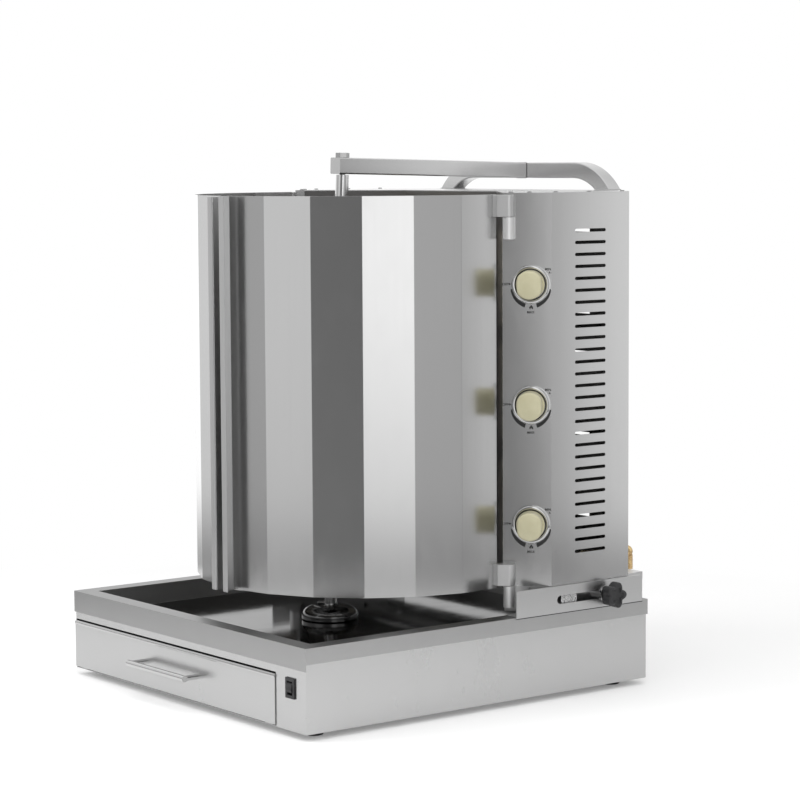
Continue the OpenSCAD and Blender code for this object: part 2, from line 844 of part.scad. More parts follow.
module meat_plate() {
    color("silver") on_spit() translate([0, 0, plate_rise]) difference() {
        union() {
            cylinder(r = plate_r, h = plate_t, $fn = 96);
            cylinder(r = plate_hub_r, h = plate_hub_h);
            difference() {
                cylinder(r = plate_r, h = plate_t + plate_lip, $fn = 96);
                translate([0, 0, plate_t - cut])
                    cylinder(r = plate_r - dome_wall, h = plate_lip + 2 * cut, $fn = 96);
            }
        }
        translate([0, 0, -cut]) cylinder(r = spit_r + plate_fit, h = plate_hub_h + 2 * cut);
    }
}

casing_path = [edge_a + wing_dir * casing_lip, edge_a, edge_b, edge_c,
    edge_d - [0, casing_t], edge_d - [rear_flange, casing_t]];

module inlet_hole(r) translate([inlet_x, rear_y + cut, feed_z]) rotate([90, 0, 0])
    cylinder(r = r, h = casing_t * 2 + 2 * cut);

module vent(z) {
    r = vent_h / 2;
    for (y = [vent_y + r, vent_y + vent_l - r])
        translate([side_x - casing_t - cut, y, z]) rotate([0, 90, 0])
            cylinder(r = r, h = casing_t + 2 * cut, $fn = 24);
    block([side_x - casing_t - cut, vent_y + r, z - r],
        [side_x + cut, vent_y + vent_l - r, z + r]);
}

module side_casing(knob_holes) {
    color("silver") difference() {
        translate([0, 0, casing_z]) strip(casing_path, casing_t, plate_z - casing_z);
        for (i = [0:vent_count - 1]) vent(rim_z + vent_low + i * vent_pitch);
        if (knob_holes) {
            for (z = knobs) on_panel(z) translate([0, 0, -casing_t - cut])
                cylinder(r = stem_r + stem_room, h = casing_t + 2 * cut);
            inlet_hole(inlet_neck_r + pipe_hole_gap);
        }
    }
}

module side_casing_right() side_casing(true);

module side_casing_left() mirror([1, 0, 0]) side_casing(false);

module rear_cover() {
    rear_vents = 8;
    rear_vent_l = 120;
    color("silver") difference() {
        block([-edge_d.x, rear_y - casing_t, casing_z], [edge_d.x, rear_y, plate_z]);
        inlet_hole(inlet_neck_r + pipe_hole_gap);
        for (i = [1:rear_vents], x = [-rear_vent_l - vent_pitch, vent_pitch])
            translate([x, rear_y - casing_t - cut,
                    casing_z + i * (plate_z - casing_z) / (rear_vents + 1)])
                cube([rear_vent_l, casing_t + 2 * cut, vent_h]);
    }
}

tower_outline = concat([edge_e, edge_a, edge_b, edge_c, edge_d],
    reversed(flipped([edge_e, edge_a, edge_b, edge_c, edge_d])));

module top_plate() {
    color("silver") translate([0, 0, plate_z]) difference() {
        linear_extrude(top_t) polygon(tower_outline);
        both_sides() for (p = screw_places)
            translate([p.x, p.y, -cut]) cylinder(r = screw_r + slip, h = top_t + 2 * cut, $fn = 24);
        translate([plate_slot_x, plate_slot_y, -cut])
            cube([plate_slot_w, plate_slot_l, top_t + 2 * cut]);
    }
}

module top_screws() {
    color("gainsboro") both_sides() for (p = screw_places) translate([p.x, p.y, top_z]) {
        cylinder(r1 = screw_head_r, r2 = screw_head_r / 2, h = screw_head_h, $fn = 24);
        translate([0, 0, -screw_l]) cylinder(r = screw_r, h = screw_l + eps, $fn = 24);
    }
}

// Right half of the tower's floor, frame_inset inside the casing's outer faces
floor_half = shifted([[0, burner_wall_y], edge_e, edge_a, edge_b, edge_c, edge_d, [0, rear_y]],
    frame_inset);

module slide_frame() {
    floor_z = casing_z - frame_t;
    front_plate = [edge_a + along * skirt_plate_start, between(edge_a, edge_b, (skirt_plate_x - edge_a.x)
        / (edge_b.x - edge_a.x))];
    web_front = edge_a.y + rail_x - edge_a.x + frame_t;
    color("silver") difference() {
        union() {
            for (s = [0, 1]) mirror([s, 0, 0]) {
                translate([0, 0, floor_z]) linear_extrude(frame_t)
                    polygon(concat(floor_half, [[-eps, rear_y - frame_inset],
                        [-eps, burner_wall_y + frame_inset]]));
                translate([0, 0, rail_z]) strip(front_plate, frame_t, casing_z - rail_z);
                block([rail_x, web_front - frame_t, rail_z],
                    [rail_x + frame_t, rail_back, floor_z + eps]);
                translate([rail_x, clamp_y, slot_z]) rotate([0, 90, 0])
                    cylinder(r = clamp_boss_r, h = base_x - seat - rail_x);
            }
            for (y = [burner_wall_y + cross_bar_w, rear_y - 2 * cross_bar_w])
                block([-rail_x - eps, y, floor_z - cross_bar_h],
                    [rail_x + eps, y + cross_bar_w, floor_z + eps]);
        }
        both_sides() {
            for (y = [front_roller_y, rear_roller_y])
                translate([rail_x - cut, y, slot_z]) rotate([0, 90, 0])
                    cylinder(r = axle_r + slip, h = frame_t + 2 * cut);
            translate([rail_x - cut, clamp_y, slot_z]) rotate([0, 90, 0])
                cylinder(r = clamp_stud_r + slip, h = base_x - rail_x + 2 * cut);
        }
    }
}

module roller_pair(y) {
    color("lightgray") translate([0, y, slot_z]) rotate([0, 90, 0]) {
        translate([0, 0, axle_end - roller_x]) cylinder(r = axle_r, h = 2 * (roller_x - axle_end));
        for (x = [-roller_x, roller_x - roller_w]) translate([0, 0, x])
            cylinder(r = roller_r, h = roller_w, $fn = 64);
    }
}

module front_rollers() roller_pair(front_roller_y);

module rear_rollers() roller_pair(rear_roller_y);

shield_start = edge_a + wing_dir * 3 * casing_t + left_of(wing_dir) * -(casing_t + wing_gap);
shield_path = concat([shield_start, edge_e], reversed(flipped([shield_start, edge_e])));

module heat_shield() {
    color("lightgray") difference() {
        translate([0, 0, casing_z]) strip(shield_path, -casing_t, plate_z - casing_z);
        for (z = knobs) {
            block([-burner_w / 2, burner_wall_y - cut, z - burner_h / 2],
                [burner_w / 2, burner_wall_y + casing_t + cut, z + burner_h / 2]);
            translate([thermo_x, burner_wall_y + casing_t + cut, z - burner_h / 2 - thermo_drop])
                rotate([90, 0, 0]) cylinder(r = thermo_r + slip, h = casing_t + 2 * cut, $fn = 24);
        }
    }
}

module burner_housings() {
    x = burner_w / 2 + housing_extra;
    h = burner_h / 2 + housing_extra;
    front = burner_wall_y + casing_t;
    back = front + housing_wall + housing_d;
    color("gray") for (z = knobs) translate([0, 0, z]) difference() {
        union() {
            block([-x - housing_lip, front, -h - housing_lip],
                [x + housing_lip, front + housing_wall, h + housing_lip]);
            block([-x, front, -h], [x, back, h]);
        }
        difference() {
            block([housing_wall - x, front - cut, housing_wall - h],
                [x - housing_wall, back - housing_wall, h - housing_wall]);
            difference() {
                y = front + plaque_back + plaque_t;
                block([-x, y, -h], [x, y + housing_wall, h]);
                block([housing_wall + ledge_in - x, y - cut, housing_wall + ledge_in - h],
                    [x - housing_wall - ledge_in, y + housing_wall + cut,
                        h - housing_wall - ledge_in]);
            }
        }
        translate([thermo_x, front, -burner_h / 2 - thermo_drop]) rotate([90, 0, 0])
            translate([0, 0, -housing_wall - cut])
                cylinder(r = thermo_r + slip, h = housing_wall + 2 * cut, $fn = 24);
    }
}

module burner_plaques() {
    x = burner_w / 2 + housing_extra - housing_wall - plaque_gap;
    h = burner_h / 2 + housing_extra - housing_wall - plaque_gap;
    y = burner_wall_y + casing_t + plaque_back;
    tiles = 4;
    groove = 1.5;
    color("wheat") for (z = knobs) translate([0, 0, z]) difference() {
        block([-x, y, -h], [x, y + plaque_t, h]);
        for (i = [1:tiles - 1])
            translate([-x + i * 2 * x / tiles - groove / 2, y - cut, -h - cut])
                cube([groove, cut + groove, 2 * (h + cut)]);
        translate([-x - cut, y - cut, -groove / 2]) cube([2 * (x + cut), cut + groove, groove]);
    }
}

module burner_guards() {
    x = burner_w / 2 + guard_wire;
    h = burner_h / 2 + guard_wire;
    y = burner_wall_y - 2 * guard_wire;
    color("gray") for (z = knobs) translate([0, 0, z]) {
        for (i = [0:guard_columns]) translate([i * 2 * x / guard_columns - x - guard_wire / 2,
                y, -h - guard_wire / 2])
            cube([guard_wire, guard_wire, 2 * h + guard_wire]);
        for (i = [0:guard_rows]) translate([-x - guard_wire / 2, y + guard_wire - eps,
                i * 2 * h / guard_rows - h - guard_wire / 2])
            cube([2 * x + guard_wire, guard_wire + eps, guard_wire]);
    }
}

module gas_manifold() {
    a = [inlet_x, feed_front_y, feed_z];
    b = [inlet_x, feed_turn_y, feed_z];
    c = [manifold_at.x, feed_turn_y, feed_z];
    d = [manifold_at.x, manifold_at.y, feed_z];
    color("goldenrod") {
        tube_between(a, b, pipe_r);
        tube_between(b, c, pipe_r);
        tube_between(c, d, pipe_r);
        for (p = [b, c, d]) translate(p) sphere(r = pipe_r + elbow_bulge);
        translate(d) cylinder(r = pipe_r, h = knobs[2] + valve_r - feed_z);
    }
}

module gas_valves() {
    neck_step = 5;
    neck_r = valve_r - neck_step;
    neck_h = 8;
    color("goldenrod") for (z = knobs) on_panel(z) difference() {
        translate([0, 0, -casing_t - valve_l]) {
            cylinder(r = valve_r, h = valve_l - neck_h);
            translate([0, 0, valve_l - neck_h - eps]) cylinder(r = neck_r, h = neck_h - slip);
        }
        translate([0, 0, -casing_t - valve_bore_d])
            cylinder(r = stem_r + slip, h = valve_bore_d + cut);
    }
}

module burner_pipes() {
    color("goldenrod") for (z = knobs) {
        start = [branch_start.x, branch_start.y, z];
        turn = [branch_turn.x, branch_turn.y, z];
        entry = [burner_w / 2 + housing_extra + branch_in, branch_y, z];
        finish = [burner_w / 2 + housing_extra, branch_y, z];
        tube_between(start, turn, branch_r);
        tube_between(turn, entry, branch_r);
        tube_between(entry, finish, branch_r);
        for (p = [turn, entry]) translate(p)
            cylinder(r = branch_r + elbow_bulge, h = 2 * (branch_r + elbow_bulge), center = true);
    }
}

module thermocouples() {
    color("silver") for (z = knobs)
        translate([thermo_x, burner_wall_y - thermo_front, z - burner_h / 2 - thermo_drop])
            rotate([-90, 0, 0]) cylinder(r = thermo_r, h = thermo_l, $fn = 24);
}

module gas_inlet() {
    thread_share = 0.8;
    turns = [for (i = [0:2 * leg_threads]) [inlet_r - (i % 2) * thread_depth,
        i * leg_l * thread_share / (2 * leg_threads)]];
    color("goldenrod") difference() {
        union() {
            translate([inlet_x, elbow_y, feed_z]) sphere(r = elbow_r);
            translate([inlet_x, elbow_y, feed_z]) rotate([90, 0, 0])
                cylinder(r = inlet_neck_r, h = elbow_y - feed_front_y);
            translate([inlet_x, rear_y + inlet_nut_h, feed_z]) rotate([90, 0, 0])
                cylinder(d = inlet_nut, h = inlet_nut_h, $fn = 6);
            translate([inlet_x, elbow_y, feed_z - leg_l]) {
                rotate_extrude() polygon(concat([[0, 0]], turns, [[0, turns[2 * leg_threads].y]]));
                cylinder(r = elbow_r - thread_depth, h = leg_l);
            }
        }
        translate([inlet_x, elbow_y, feed_z - leg_l - cut]) cylinder(r = leg_bore_r, h = leg_l);
    }
}

module knob_rings() {
    profile = concat([[ring_hole_r, 0], [ring_r, 0]],
        arc([ring_r - ring_round, ring_h - ring_round], ring_round, 0, 90, corner_steps),
        [[ring_hole_r, ring_h - ring_slope]]);
    color("silver") for (z = knobs) on_panel(z) rotate_extrude($fn = 72) polygon(profile);
}

module arch() {
    tube = rounded(tube_w, tube_w, tube_corner, corner_steps);
    mid_r = arch_bend_r - tube_w / 2;
    color("silver") intersection() {
        translate([0, arch_front + tube_w / 2, 0]) union() {
            translate([-arch_flat, 0, arch_mid_z]) rotate([90, 0, 90])
                linear_extrude(2 * arch_flat) polygon(tube);
            both_sides() translate([arch_flat, 0, arch_mid_z - mid_r]) rotate([90, 0, 0])
                rotate_extrude(angle = 90, $fn = 128) translate([mid_r, 0]) polygon(tube);
        }
        block([-base_w, 0, top_z], [base_w, base_w, top_z + arch_bend_r]);
    }
}

// Puts a child on the arm's middle line at the arch, -y running out along the arm
module on_arm() translate([0, arch_front, arch_mid_z]) rotate([-arm_slope, 0, 0]) children();

module arm() {
    tube = rounded(tube_w, tube_w, tube_corner, corner_steps);
    bore = rounded(tube_w - 2 * tube_wall, tube_w - 2 * tube_wall, tube_corner / 2, corner_steps);
    color("silver") difference() {
        on_arm() difference() {
            translate([0, tube_w, 0]) rotate([90, 0, 0]) linear_extrude(arm_l + tube_w) polygon(tube);
            translate([0, 2 * tube_w, 0]) rotate([90, 0, 0])
                linear_extrude(arm_l + 2 * tube_w - tube_wall) polygon(bore);
            translate([0, -bolt_s, -tube_w])
                cylinder(r = bolt_r + slip, h = 2 * tube_w);
        }
        block([-tube_w, arch_front, top_z], [tube_w, arch_front + 2 * tube_w, top_z + 3 * tube_w]);
    }
}

module top_bolt() {
    low = bolt_low - dog_gap;
    color("gainsboro") on_arm() translate([0, -bolt_s, 0]) {
        translate([0, 0, tube_w / 2]) cylinder(d = hex_w, h = bolt_head_h, $fn = 6);
        translate([0, 0, -low]) cylinder(r = bolt_r, h = low + tube_w / 2 + eps);
        translate([0, 0, -low - dog_l]) cylinder(r = dog_r, h = dog_l + eps);
    }
}

module tower_hinges() {
    color("gainsboro") both_sides() for (rise = [low_block_rise, high_block_rise])
        at_edge(rim_z + rise) difference() {
            union() {
                translate([hinge_along, -hinge_off, 0]) cylinder(r = barrel_r, h = tower_block_h);
                block([hinge_along - barrel_r, -hinge_off, 0],
                    [hinge_along + barrel_r, 0, tower_block_h]);
            }
            translate([hinge_along, -hinge_off, pin_floor])
                cylinder(r = hinge_pin_r + slip, h = tower_block_h);
        }
}

module hinge_pins() {
    pin_l = tower_block_h + hinge_gap + door_block_h - pin_floor - pin_roof - seat;
    color("gray") both_sides() for (rise = [low_block_rise, high_block_rise])
        translate([hinge_at.x, hinge_at.y, rim_z + rise + pin_floor])
            cylinder(r = hinge_pin_r, h = pin_l);
}

module door_shell(front_x) {
    path = concat([on_first(front_x)], [for (k = [0:door_corners - 1]) corner(k)], [door_stop]);
    color("silver") translate([0, 0, door_z]) strip(path, door_t, door_h);
}

module door_right() door_shell(grip_gap + grip_t / 4);

module door_left() mirror([1, 0, 0]) door_shell(grip_t / 4);

// Bent grip on a door's front edge, with its outer face on x = edge_x
module door_grip(edge_x, lip, h) {
    inside = shifted([corner(0), on_first(edge_x)], -door_t);
    in_dir = (inside[0] - inside[1]) / norm(inside[0] - inside[1]);
    c = [edge_x + bend_r, grip_front + grip_t + bend_r];
    path = concat([inside[1] + in_dir * grip_base, inside[1]],
        arc(c, bend_r, 180, 270, bend_steps), [[edge_x + lip, grip_front + grip_t]]);
    color("gainsboro") translate([0, 0, door_z - grip_drop])
        strip(path, -grip_t, h + grip_drop);
}

module door_grip_right() door_grip(grip_gap, right_lip, door_h);

module door_grip_left() mirror([1, 0, 0]) door_grip(0, left_lip, door_h - grip_drop);

module door_hinges() {
    function place(a, o) = edge_a + along * a + outward * o;
    outline = [place(-door_block_in, door_block_gap), door_stop,
        door_stop - last_dir * door_block_leaf, place(-door_block_in, door_block_out),
        place(hinge_along, door_block_out), place(hinge_along, door_block_gap)];
    color("gainsboro") for (rise = [low_block_rise, high_block_rise])
        translate([0, 0, rim_z + rise + tower_block_h + hinge_gap]) difference() {
            union() {
                linear_extrude(door_block_h) polygon(outline);
                translate([hinge_at.x, hinge_at.y, 0]) cylinder(r = barrel_r, h = door_block_h);
            }
            translate([hinge_at.x, hinge_at.y, -cut])
                cylinder(r = hinge_pin_r + slip, h = door_block_h - pin_roof + cut);
        }
}

module door_hinges_right() door_hinges();

module door_hinges_left() mirror([1, 0, 0]) door_hinges();

module valve_stem(z) color("silver") on_panel(z)
    translate([0, 0, -stem_in]) cylinder(r = stem_r, h = stem_in + stem_out);

module valve_stem_low() valve_stem(knobs[0]);

module valve_stem_middle() valve_stem(knobs[1]);

module valve_stem_high() valve_stem(knobs[2]);

module gas_knob(z) {
    dome_h = 3;
    color("lightyellow") on_panel(z) difference() {
        union() {
            translate([0, 0, knob_back]) cylinder(r = knob_r, h = knob_base_h, $fn = 72);
            intersection() {
                translate([0, 0, knob_back]) {
                    cylinder(r = knob_r - knob_wall, h = knob_reach - knob_back - dome_h, $fn = 72);
                    translate([0, 0, knob_reach - knob_back - dome_h - eps])
                        rotate_extrude($fn = 72) polygon(concat([[0, 0]],
                            [for (i = [0:dome_steps]) let (a = 90 * i / dome_steps)
                                [(knob_r - knob_wall) * cos(a), dome_h * sin(a)]]));
                }
                block([-knob_r, -knob_flats / 2, 0], [knob_r, knob_flats / 2, knob_reach]);
            }
        }
        translate([0, 0, knob_back - cut])
            cylinder(r = stem_r + slip, h = stem_out - knob_back + seat + cut);
    }
}

module gas_knob_low() gas_knob(knobs[0]);

module gas_knob_middle() gas_knob(knobs[1]);

module gas_knob_high() gas_knob(knobs[2]);

// Puts a child on the right clamp's axis, z pointing out from the bracket's face
module on_clamp() translate([base_x + bracket_t, clamp_y, slot_z]) rotate([0, 90, 0]) children();

module clamp_knob() {
    hub_z = washer_t + 2 * clamp_gap;
    color("black") on_clamp() {
        translate([0, 0, -clamp_stud_in])
            cylinder(r = clamp_stud_r, h = clamp_stud_in + hub_z + clamp_hub_h);
        translate([0, 0, hub_z]) cylinder(r = clamp_hub_r, h = clamp_hub_h + eps);
        translate([0, 0, hub_z + clamp_hub_h]) linear_extrude(clamp_head_h) union() {
            circle(r = clamp_r - clamp_lobe_r);
            for (i = [0:clamp_lobes - 1]) rotate(90 + i * 360 / clamp_lobes)
                translate([clamp_r - clamp_lobe_r, 0]) circle(r = clamp_lobe_r);
        }
    }
}

module clamp_knob_right() clamp_knob();

module clamp_knob_left() mirror([1, 0, 0]) clamp_knob();

module clamp_washers() {
    color("silver") both_sides() on_clamp() translate([0, 0, clamp_gap]) difference() {
        cylinder(r = washer_r, h = washer_t);
        translate([0, 0, -cut]) cylinder(r = clamp_stud_r + slip, h = washer_t + 2 * cut);
    }
}

base_casing();
bottom_plate();
grease_tray();
feet();
drawer_runners();
slide_bracket_left();
slide_bracket_right();
drive_gearbox();
drive_motor();
shaft_seal();
power_gland();
switch_frame();
switch_rocker();
drawer_box();
drawer_front();
drawer_handle();
drive_shaft();
splash_dome();
thrust_ball();
spit_rod();
cross_pin();
meat_plate();
side_casing_left();
side_casing_right();
rear_cover();
top_plate();
top_screws();
slide_frame();
front_rollers();
rear_rollers();
heat_shield();
burner_housings();
burner_plaques();
burner_guards();
gas_manifold();
gas_valves();
burner_pipes();
thermocouples();
gas_inlet();
knob_rings();
arch();
arm();
top_bolt();
tower_hinges();
hinge_pins();
door_left();
door_right();
door_grip_left();
door_grip_right();
door_hinges_left();
door_hinges_right();
valve_stem_low();
valve_stem_middle();
valve_stem_high();
gas_knob_low();
gas_knob_middle();
gas_knob_high();
clamp_knob_left();
clamp_knob_right();
clamp_washers();
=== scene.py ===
import json
from math import cos, pi, radians, sin

import bmesh
import bpy
from mathutils import Matrix, Vector


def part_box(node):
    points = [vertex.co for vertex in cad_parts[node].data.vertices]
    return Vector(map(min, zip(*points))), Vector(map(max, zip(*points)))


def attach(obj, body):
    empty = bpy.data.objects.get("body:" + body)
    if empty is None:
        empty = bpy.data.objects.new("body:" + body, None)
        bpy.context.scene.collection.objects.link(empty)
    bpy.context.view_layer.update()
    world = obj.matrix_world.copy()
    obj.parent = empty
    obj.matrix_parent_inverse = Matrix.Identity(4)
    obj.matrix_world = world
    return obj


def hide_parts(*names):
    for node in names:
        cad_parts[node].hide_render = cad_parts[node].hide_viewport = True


mm = 0.001
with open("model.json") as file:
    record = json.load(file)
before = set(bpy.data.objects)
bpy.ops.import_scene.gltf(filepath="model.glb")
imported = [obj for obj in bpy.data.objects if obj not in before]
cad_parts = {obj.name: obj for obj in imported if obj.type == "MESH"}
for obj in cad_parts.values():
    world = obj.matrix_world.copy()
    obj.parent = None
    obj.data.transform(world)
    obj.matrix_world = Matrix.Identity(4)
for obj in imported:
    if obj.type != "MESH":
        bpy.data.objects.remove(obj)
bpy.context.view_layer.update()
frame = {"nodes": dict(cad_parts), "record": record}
record = frame["record"]
bodyOf = {node: body for body, nodes in record["behaviour"]["bodies"].items() for node in nodes}
slotOf = {part["node"]: part["material_slot"] for part in record["subparts"]}
print("frame loaded:", len(frame["nodes"]), "nodes")


class Wire:
    def __init__(self, finish, socket):
        self.finish, self.socket = finish, socket

    def math(self, operation, *others):
        return self.finish.node("Math", {"operation": operation}, dict(enumerate((self, *others))))

    def __add__(self, other):
        return self.math("ADD", other)

    def __mul__(self, other):
        return self.math("MULTIPLY", other)

    def __sub__(self, other):
        return self.math("SUBTRACT", other)

    def __rsub__(self, other):
        return self * -1 + other

    def __truediv__(self, other):
        return self.math("DIVIDE", other)

    def __gt__(self, other):
        return self.math("GREATER_THAN", other)

    def __lt__(self, other):
        return self.math("LESS_THAN", other)

    __radd__ = __add__
    __rmul__ = __mul__

    def ramp(self, low, high):  # 0 at low, 1 at high
        return self.finish.node("MapRange", {"interpolation_type": "SMOOTHSTEP"},
                                {"Value": self, "From Min": low, "From Max": high})


class Finish:
    def __init__(self, name, tree=None):
        if tree:  # the world's nodes
            self.tree = tree
            return
        self.material = bpy.data.materials.new(name)
        self.material.use_nodes = True
        self.tree = self.material.node_tree
        self.shader = self.tree.nodes["Principled BSDF"]
        self.where = self.node("TexCoord", out="Object")

    def node(self, kind, settings=None, values=None, out=0):
        made = self.tree.nodes.new("ShaderNode" + kind)
        settings = dict(settings or {})
        stops = settings.pop("stops", None)
        for key, value in settings.items():
            setattr(made, key, value)
        if stops:
            self.setStops(made.color_ramp.elements, stops)
        for key, value in (values or {}).items():
            self.feed(made.inputs[key], value)
        return Wire(self, made.outputs[out])

    def setStops(self, elements, stops):
        while len(elements) > 1:
            elements.remove(elements[-1])
        elements[0].position, elements[0].color = stops[0]
        for place, color in stops[1:]:
            elements.new(place).color = color

    def feed(self, socket, value):
        if isinstance(value, Wire):
            self.tree.links.new(value.socket, socket)
        else:
            socket.default_value = value

    def set(self, **values):
        for key, value in values.items():
            self.feed(self.shader.inputs[socketName[key]], value)

    def mix(self, share, low, high):
        return self.node("Mix", {"data_type": "RGBA"}, {0: share, 6: low, 7: high}, 2)

    def noise(self, scale, detail=3, rough=0.5):
        stretched = self.node("Mapping", {}, {"Vector": self.where, "Scale": scale})
        return self.node("TexNoise", {}, {"Vector": stretched, "Scale": 1, "Detail": detail,
                                          "Roughness": rough})

    def bump(self, height, strength, distance):
        self.set(normal=self.node("Bump", {}, {"Height": height, "Strength": strength,
                                               "Distance": distance}))


socketName = {"color": "Base Color", "roughness": "Roughness", "metallic": "Metallic",
              "normal": "Normal", "glow": "Emission Color", "glowStrength": "Emission Strength"}


def gray(value, warmth=0.0):
    return (value * (1 + warmth), value, value * (1 - warmth), 1)


# Brushed sheet: fine lines along the grain, broader bands, and faint wiping marks
brush = {"across": 1100, "along": 9, "bandWidth": 7, "cloud": (5, 5, 4), "cloudShare": 0.8,
         "smear": (26, 26, 14), "smearFrom": 0.45, "smearTo": 0.75, "smearShare": 0.5,
         "dark": 0.72, "light": 1.28, "spread": 0.05, "depth": 0.02}


def brushed(name, base, rough, along, lines=0.04, marks=0.05):
    f, b = Finish(name), brush
    stretch = [b["along"] if axis == along else b["across"] for axis in "xyz"]
    fine = f.noise(stretch, 4, 0.6)
    band = f.noise([v / b["bandWidth"] for v in stretch], 2)
    cloud = f.noise(b["cloud"], 4, 0.55)
    smear = f.noise(b["smear"], 3, 0.6).ramp(b["smearFrom"], b["smearTo"])
    tone = (fine - 0.5) * lines + (band - 0.5) * lines \
        + (cloud - 0.5) * lines * b["cloudShare"] + 0.5
    f.set(color=f.mix(tone, gray(base * b["dark"]), gray(base * b["light"])), metallic=1.0,
          roughness=rough + (fine - 0.5) * b["spread"] + smear * marks * b["smearShare"]
          + (cloud - 0.5) * marks)
    f.bump(fine, b["depth"], 0.0001)
    return f.material


# Turned or polished metal with slight polishing marks
polish = {"cloud": (30, 30, 30), "scratch": (400, 90, 900), "dark": 0.92, "light": 1.06,
          "depth": 0.015, "wave": (14, 14, 14)}


def polished(name, base, rough, spread=0.04, ripple=0.0):
    f, p = Finish(name), polish
    cloud = f.noise(p["cloud"], 4, 0.6)
    scratch = f.noise(p["scratch"], 3, 0.6)
    f.set(color=f.mix(cloud, gray(base * p["dark"]), gray(min(1, base * p["light"]))),
          metallic=1.0, roughness=rough + (cloud - 0.5) * spread + (scratch - 0.5) * spread)
    if ripple:
        f.bump(f.noise(p["wave"], 2), ripple, 0.001)
    else:
        f.bump(scratch, p["depth"], 0.0001)
    return f.material


# The tray is polished like a mirror inside, and satin on its rim and skirt
def trayFinish(name, rimTone, panTone, mirror, satin):
    f = Finish(name)
    inside = {"x": 0.2905, "yFrom": -0.3215, "yTo": 0.2775, "z": 0.1338}
    x, y, z = (f.node("SeparateXYZ", {}, {"Vector": f.where}, axis) for axis in "XYZ")
    pan = (x.math("ABSOLUTE") < inside["x"]) * (y > inside["yFrom"]) * (y < inside["yTo"]) \
        * (z < inside["z"])
    cloud = f.noise((14, 14, 14), 4, 0.6)
    wipes = f.noise((60, 22, 60), 3, 0.6)
    fine = f.noise((900, 12, 900), 3)
    f.set(color=f.mix(pan, f.mix(cloud, gray(rimTone * 0.94), gray(rimTone * 1.05)),
                      f.mix(cloud, gray(panTone * 0.92), gray(panTone * 1.06))), metallic=1.0,
          roughness=pan * (mirror + (wipes - 0.4).math("MAXIMUM", 0) * 0.12)
          + (1 - pan) * (satin + (fine - 0.5) * 0.05 + (cloud - 0.5) * 0.05))
    f.shader.inputs["Specular Tint"].default_value = gray(0.5)  # for steel seen nearly edge on
    f.bump(f.noise((7, 7, 7), 2), 0.03, 0.001)
    return f.material


def heated(name, base):
    f = Finish(name)
    cloud = f.noise((9, 9, 7), 4, 0.6)
    fine = f.noise((900, 900, 12), 3)
    straw = f.mix(cloud.ramp(0.4, 0.7), gray(base, 0.02), (base, base * 0.95, base * 0.87, 1))
    f.set(color=f.mix(cloud.ramp(0.62, 0.85), straw, (base * 0.6, base * 0.6, base * 0.68, 1)),
          metallic=1.0, roughness=0.34 + (fine - 0.5) * 0.08 + (cloud - 0.5) * 0.12)
    f.bump(fine, 0.03, 0.0001)
    return f.material


def plastic(name, color, dark, rough, coat=0.0, grain=900, depth=0.05):
    f = Finish(name)
    cloud = f.noise((45, 45, 45), 3)
    pores = f.noise((grain, grain, grain), 2)
    f.set(color=f.mix(cloud.ramp(0.3, 0.7), dark, color),
          roughness=rough + (cloud - 0.5) * 0.08 + (pores - 0.5) * 0.06)
    f.shader.inputs["Coat Weight"].default_value = coat
    f.shader.inputs["Coat Roughness"].default_value = 0.08
    f.bump(pores, depth, 0.0002)
    return f.material


def brassy(name):
    f = Finish(name)
    cloud = f.noise((60, 60, 60), 4, 0.6)
    rings = f.noise((500, 500, 1600), 3)
    f.set(color=f.mix(cloud.ramp(0.35, 0.75), (0.8, 0.6, 0.3, 1), (0.5, 0.33, 0.17, 1)),
          metallic=1.0, roughness=0.26 + (cloud - 0.5) * 0.14 + (rings - 0.5) * 0.08)
    f.bump(rings, 0.04, 0.0001)
    return f.material


def ceramic(name):
    f = Finish(name)
    cell = 340  # holes per metre
    grid = f.node("Mapping", {}, {"Vector": f.where, "Scale": (cell, cell, cell)})
    across = f.node("SeparateXYZ", {}, {"Vector": grid}, "X")
    upward = f.node("SeparateXYZ", {}, {"Vector": grid}, "Z")
    dots = (across * 2 * pi).math("COSINE") * (upward * 2 * pi).math("COSINE")
    hole = dots.ramp(0.25, 0.6)
    cloud = f.noise((40, 40, 40), 4, 0.6)
    body = f.mix(cloud, (0.8, 0.73, 0.6, 1), (0.9, 0.86, 0.76, 1))
    # Each hole is only drawn: its dark brown dot is painted shade inside the hole, and the bump
    # dents it
    f.set(color=f.mix(hole, body, (0.12, 0.08, 0.06, 1)), roughness=0.85)
    f.bump(hole * -1, 0.6, 0.0008)
    return f.material


def enamel(name, color):
    f = Finish(name)
    peel = f.noise((420, 420, 420), 2)
    cloud = f.noise((18, 18, 18), 3)
    f.set(color=f.mix(cloud, [v * 0.85 for v in color[:3]] + [1], color),
          roughness=0.32 + (cloud - 0.5) * 0.1)
    f.bump(peel, 0.12, 0.0003)
    return f.material


steelDoor = brushed("door_steel", 0.62, 0.19, "z", lines=0.05)
steelPanel = brushed("panel_steel", 0.62, 0.19, "z", lines=0.05)
steelBase = brushed("base_steel", 0.62, 0.25, "x", lines=0.05)
steelSide = brushed("base_side_steel", 0.62, 0.32, "y", lines=0.05)
steelTube = brushed("tube_steel", 0.6, 0.24, "y", lines=0.03, marks=0.03)
steelTray = trayFinish("tray_steel", 0.5, 0.48, 0.07, 0.34)
steelBox = polished("drawer_steel", 0.6, 0.16, ripple=0.03)
steelGrip = brushed("grip_steel", 0.6, 0.34, "z", lines=0.05)
steelBright = polished("bright_steel", 0.7, 0.16)
# The dome's very dark base colour is a painted reflection of dark surroundings in its polished
# steel
steelPaintedReflection = polished("dome_steel", 0.16, 0.14)
chrome = polished("ring_chrome", 0.6, 0.05, spread=0.02)
steelWeld = polished("weld_steel", 0.5, 0.3, spread=0.1)
steelHinge = polished("hinge_steel", 0.9, 0.5)
steelLeaf = polished("hinge_leaf_steel", 0.64, 0.45)
steelBolt = polished("bolt_steel", 0.42, 0.24)
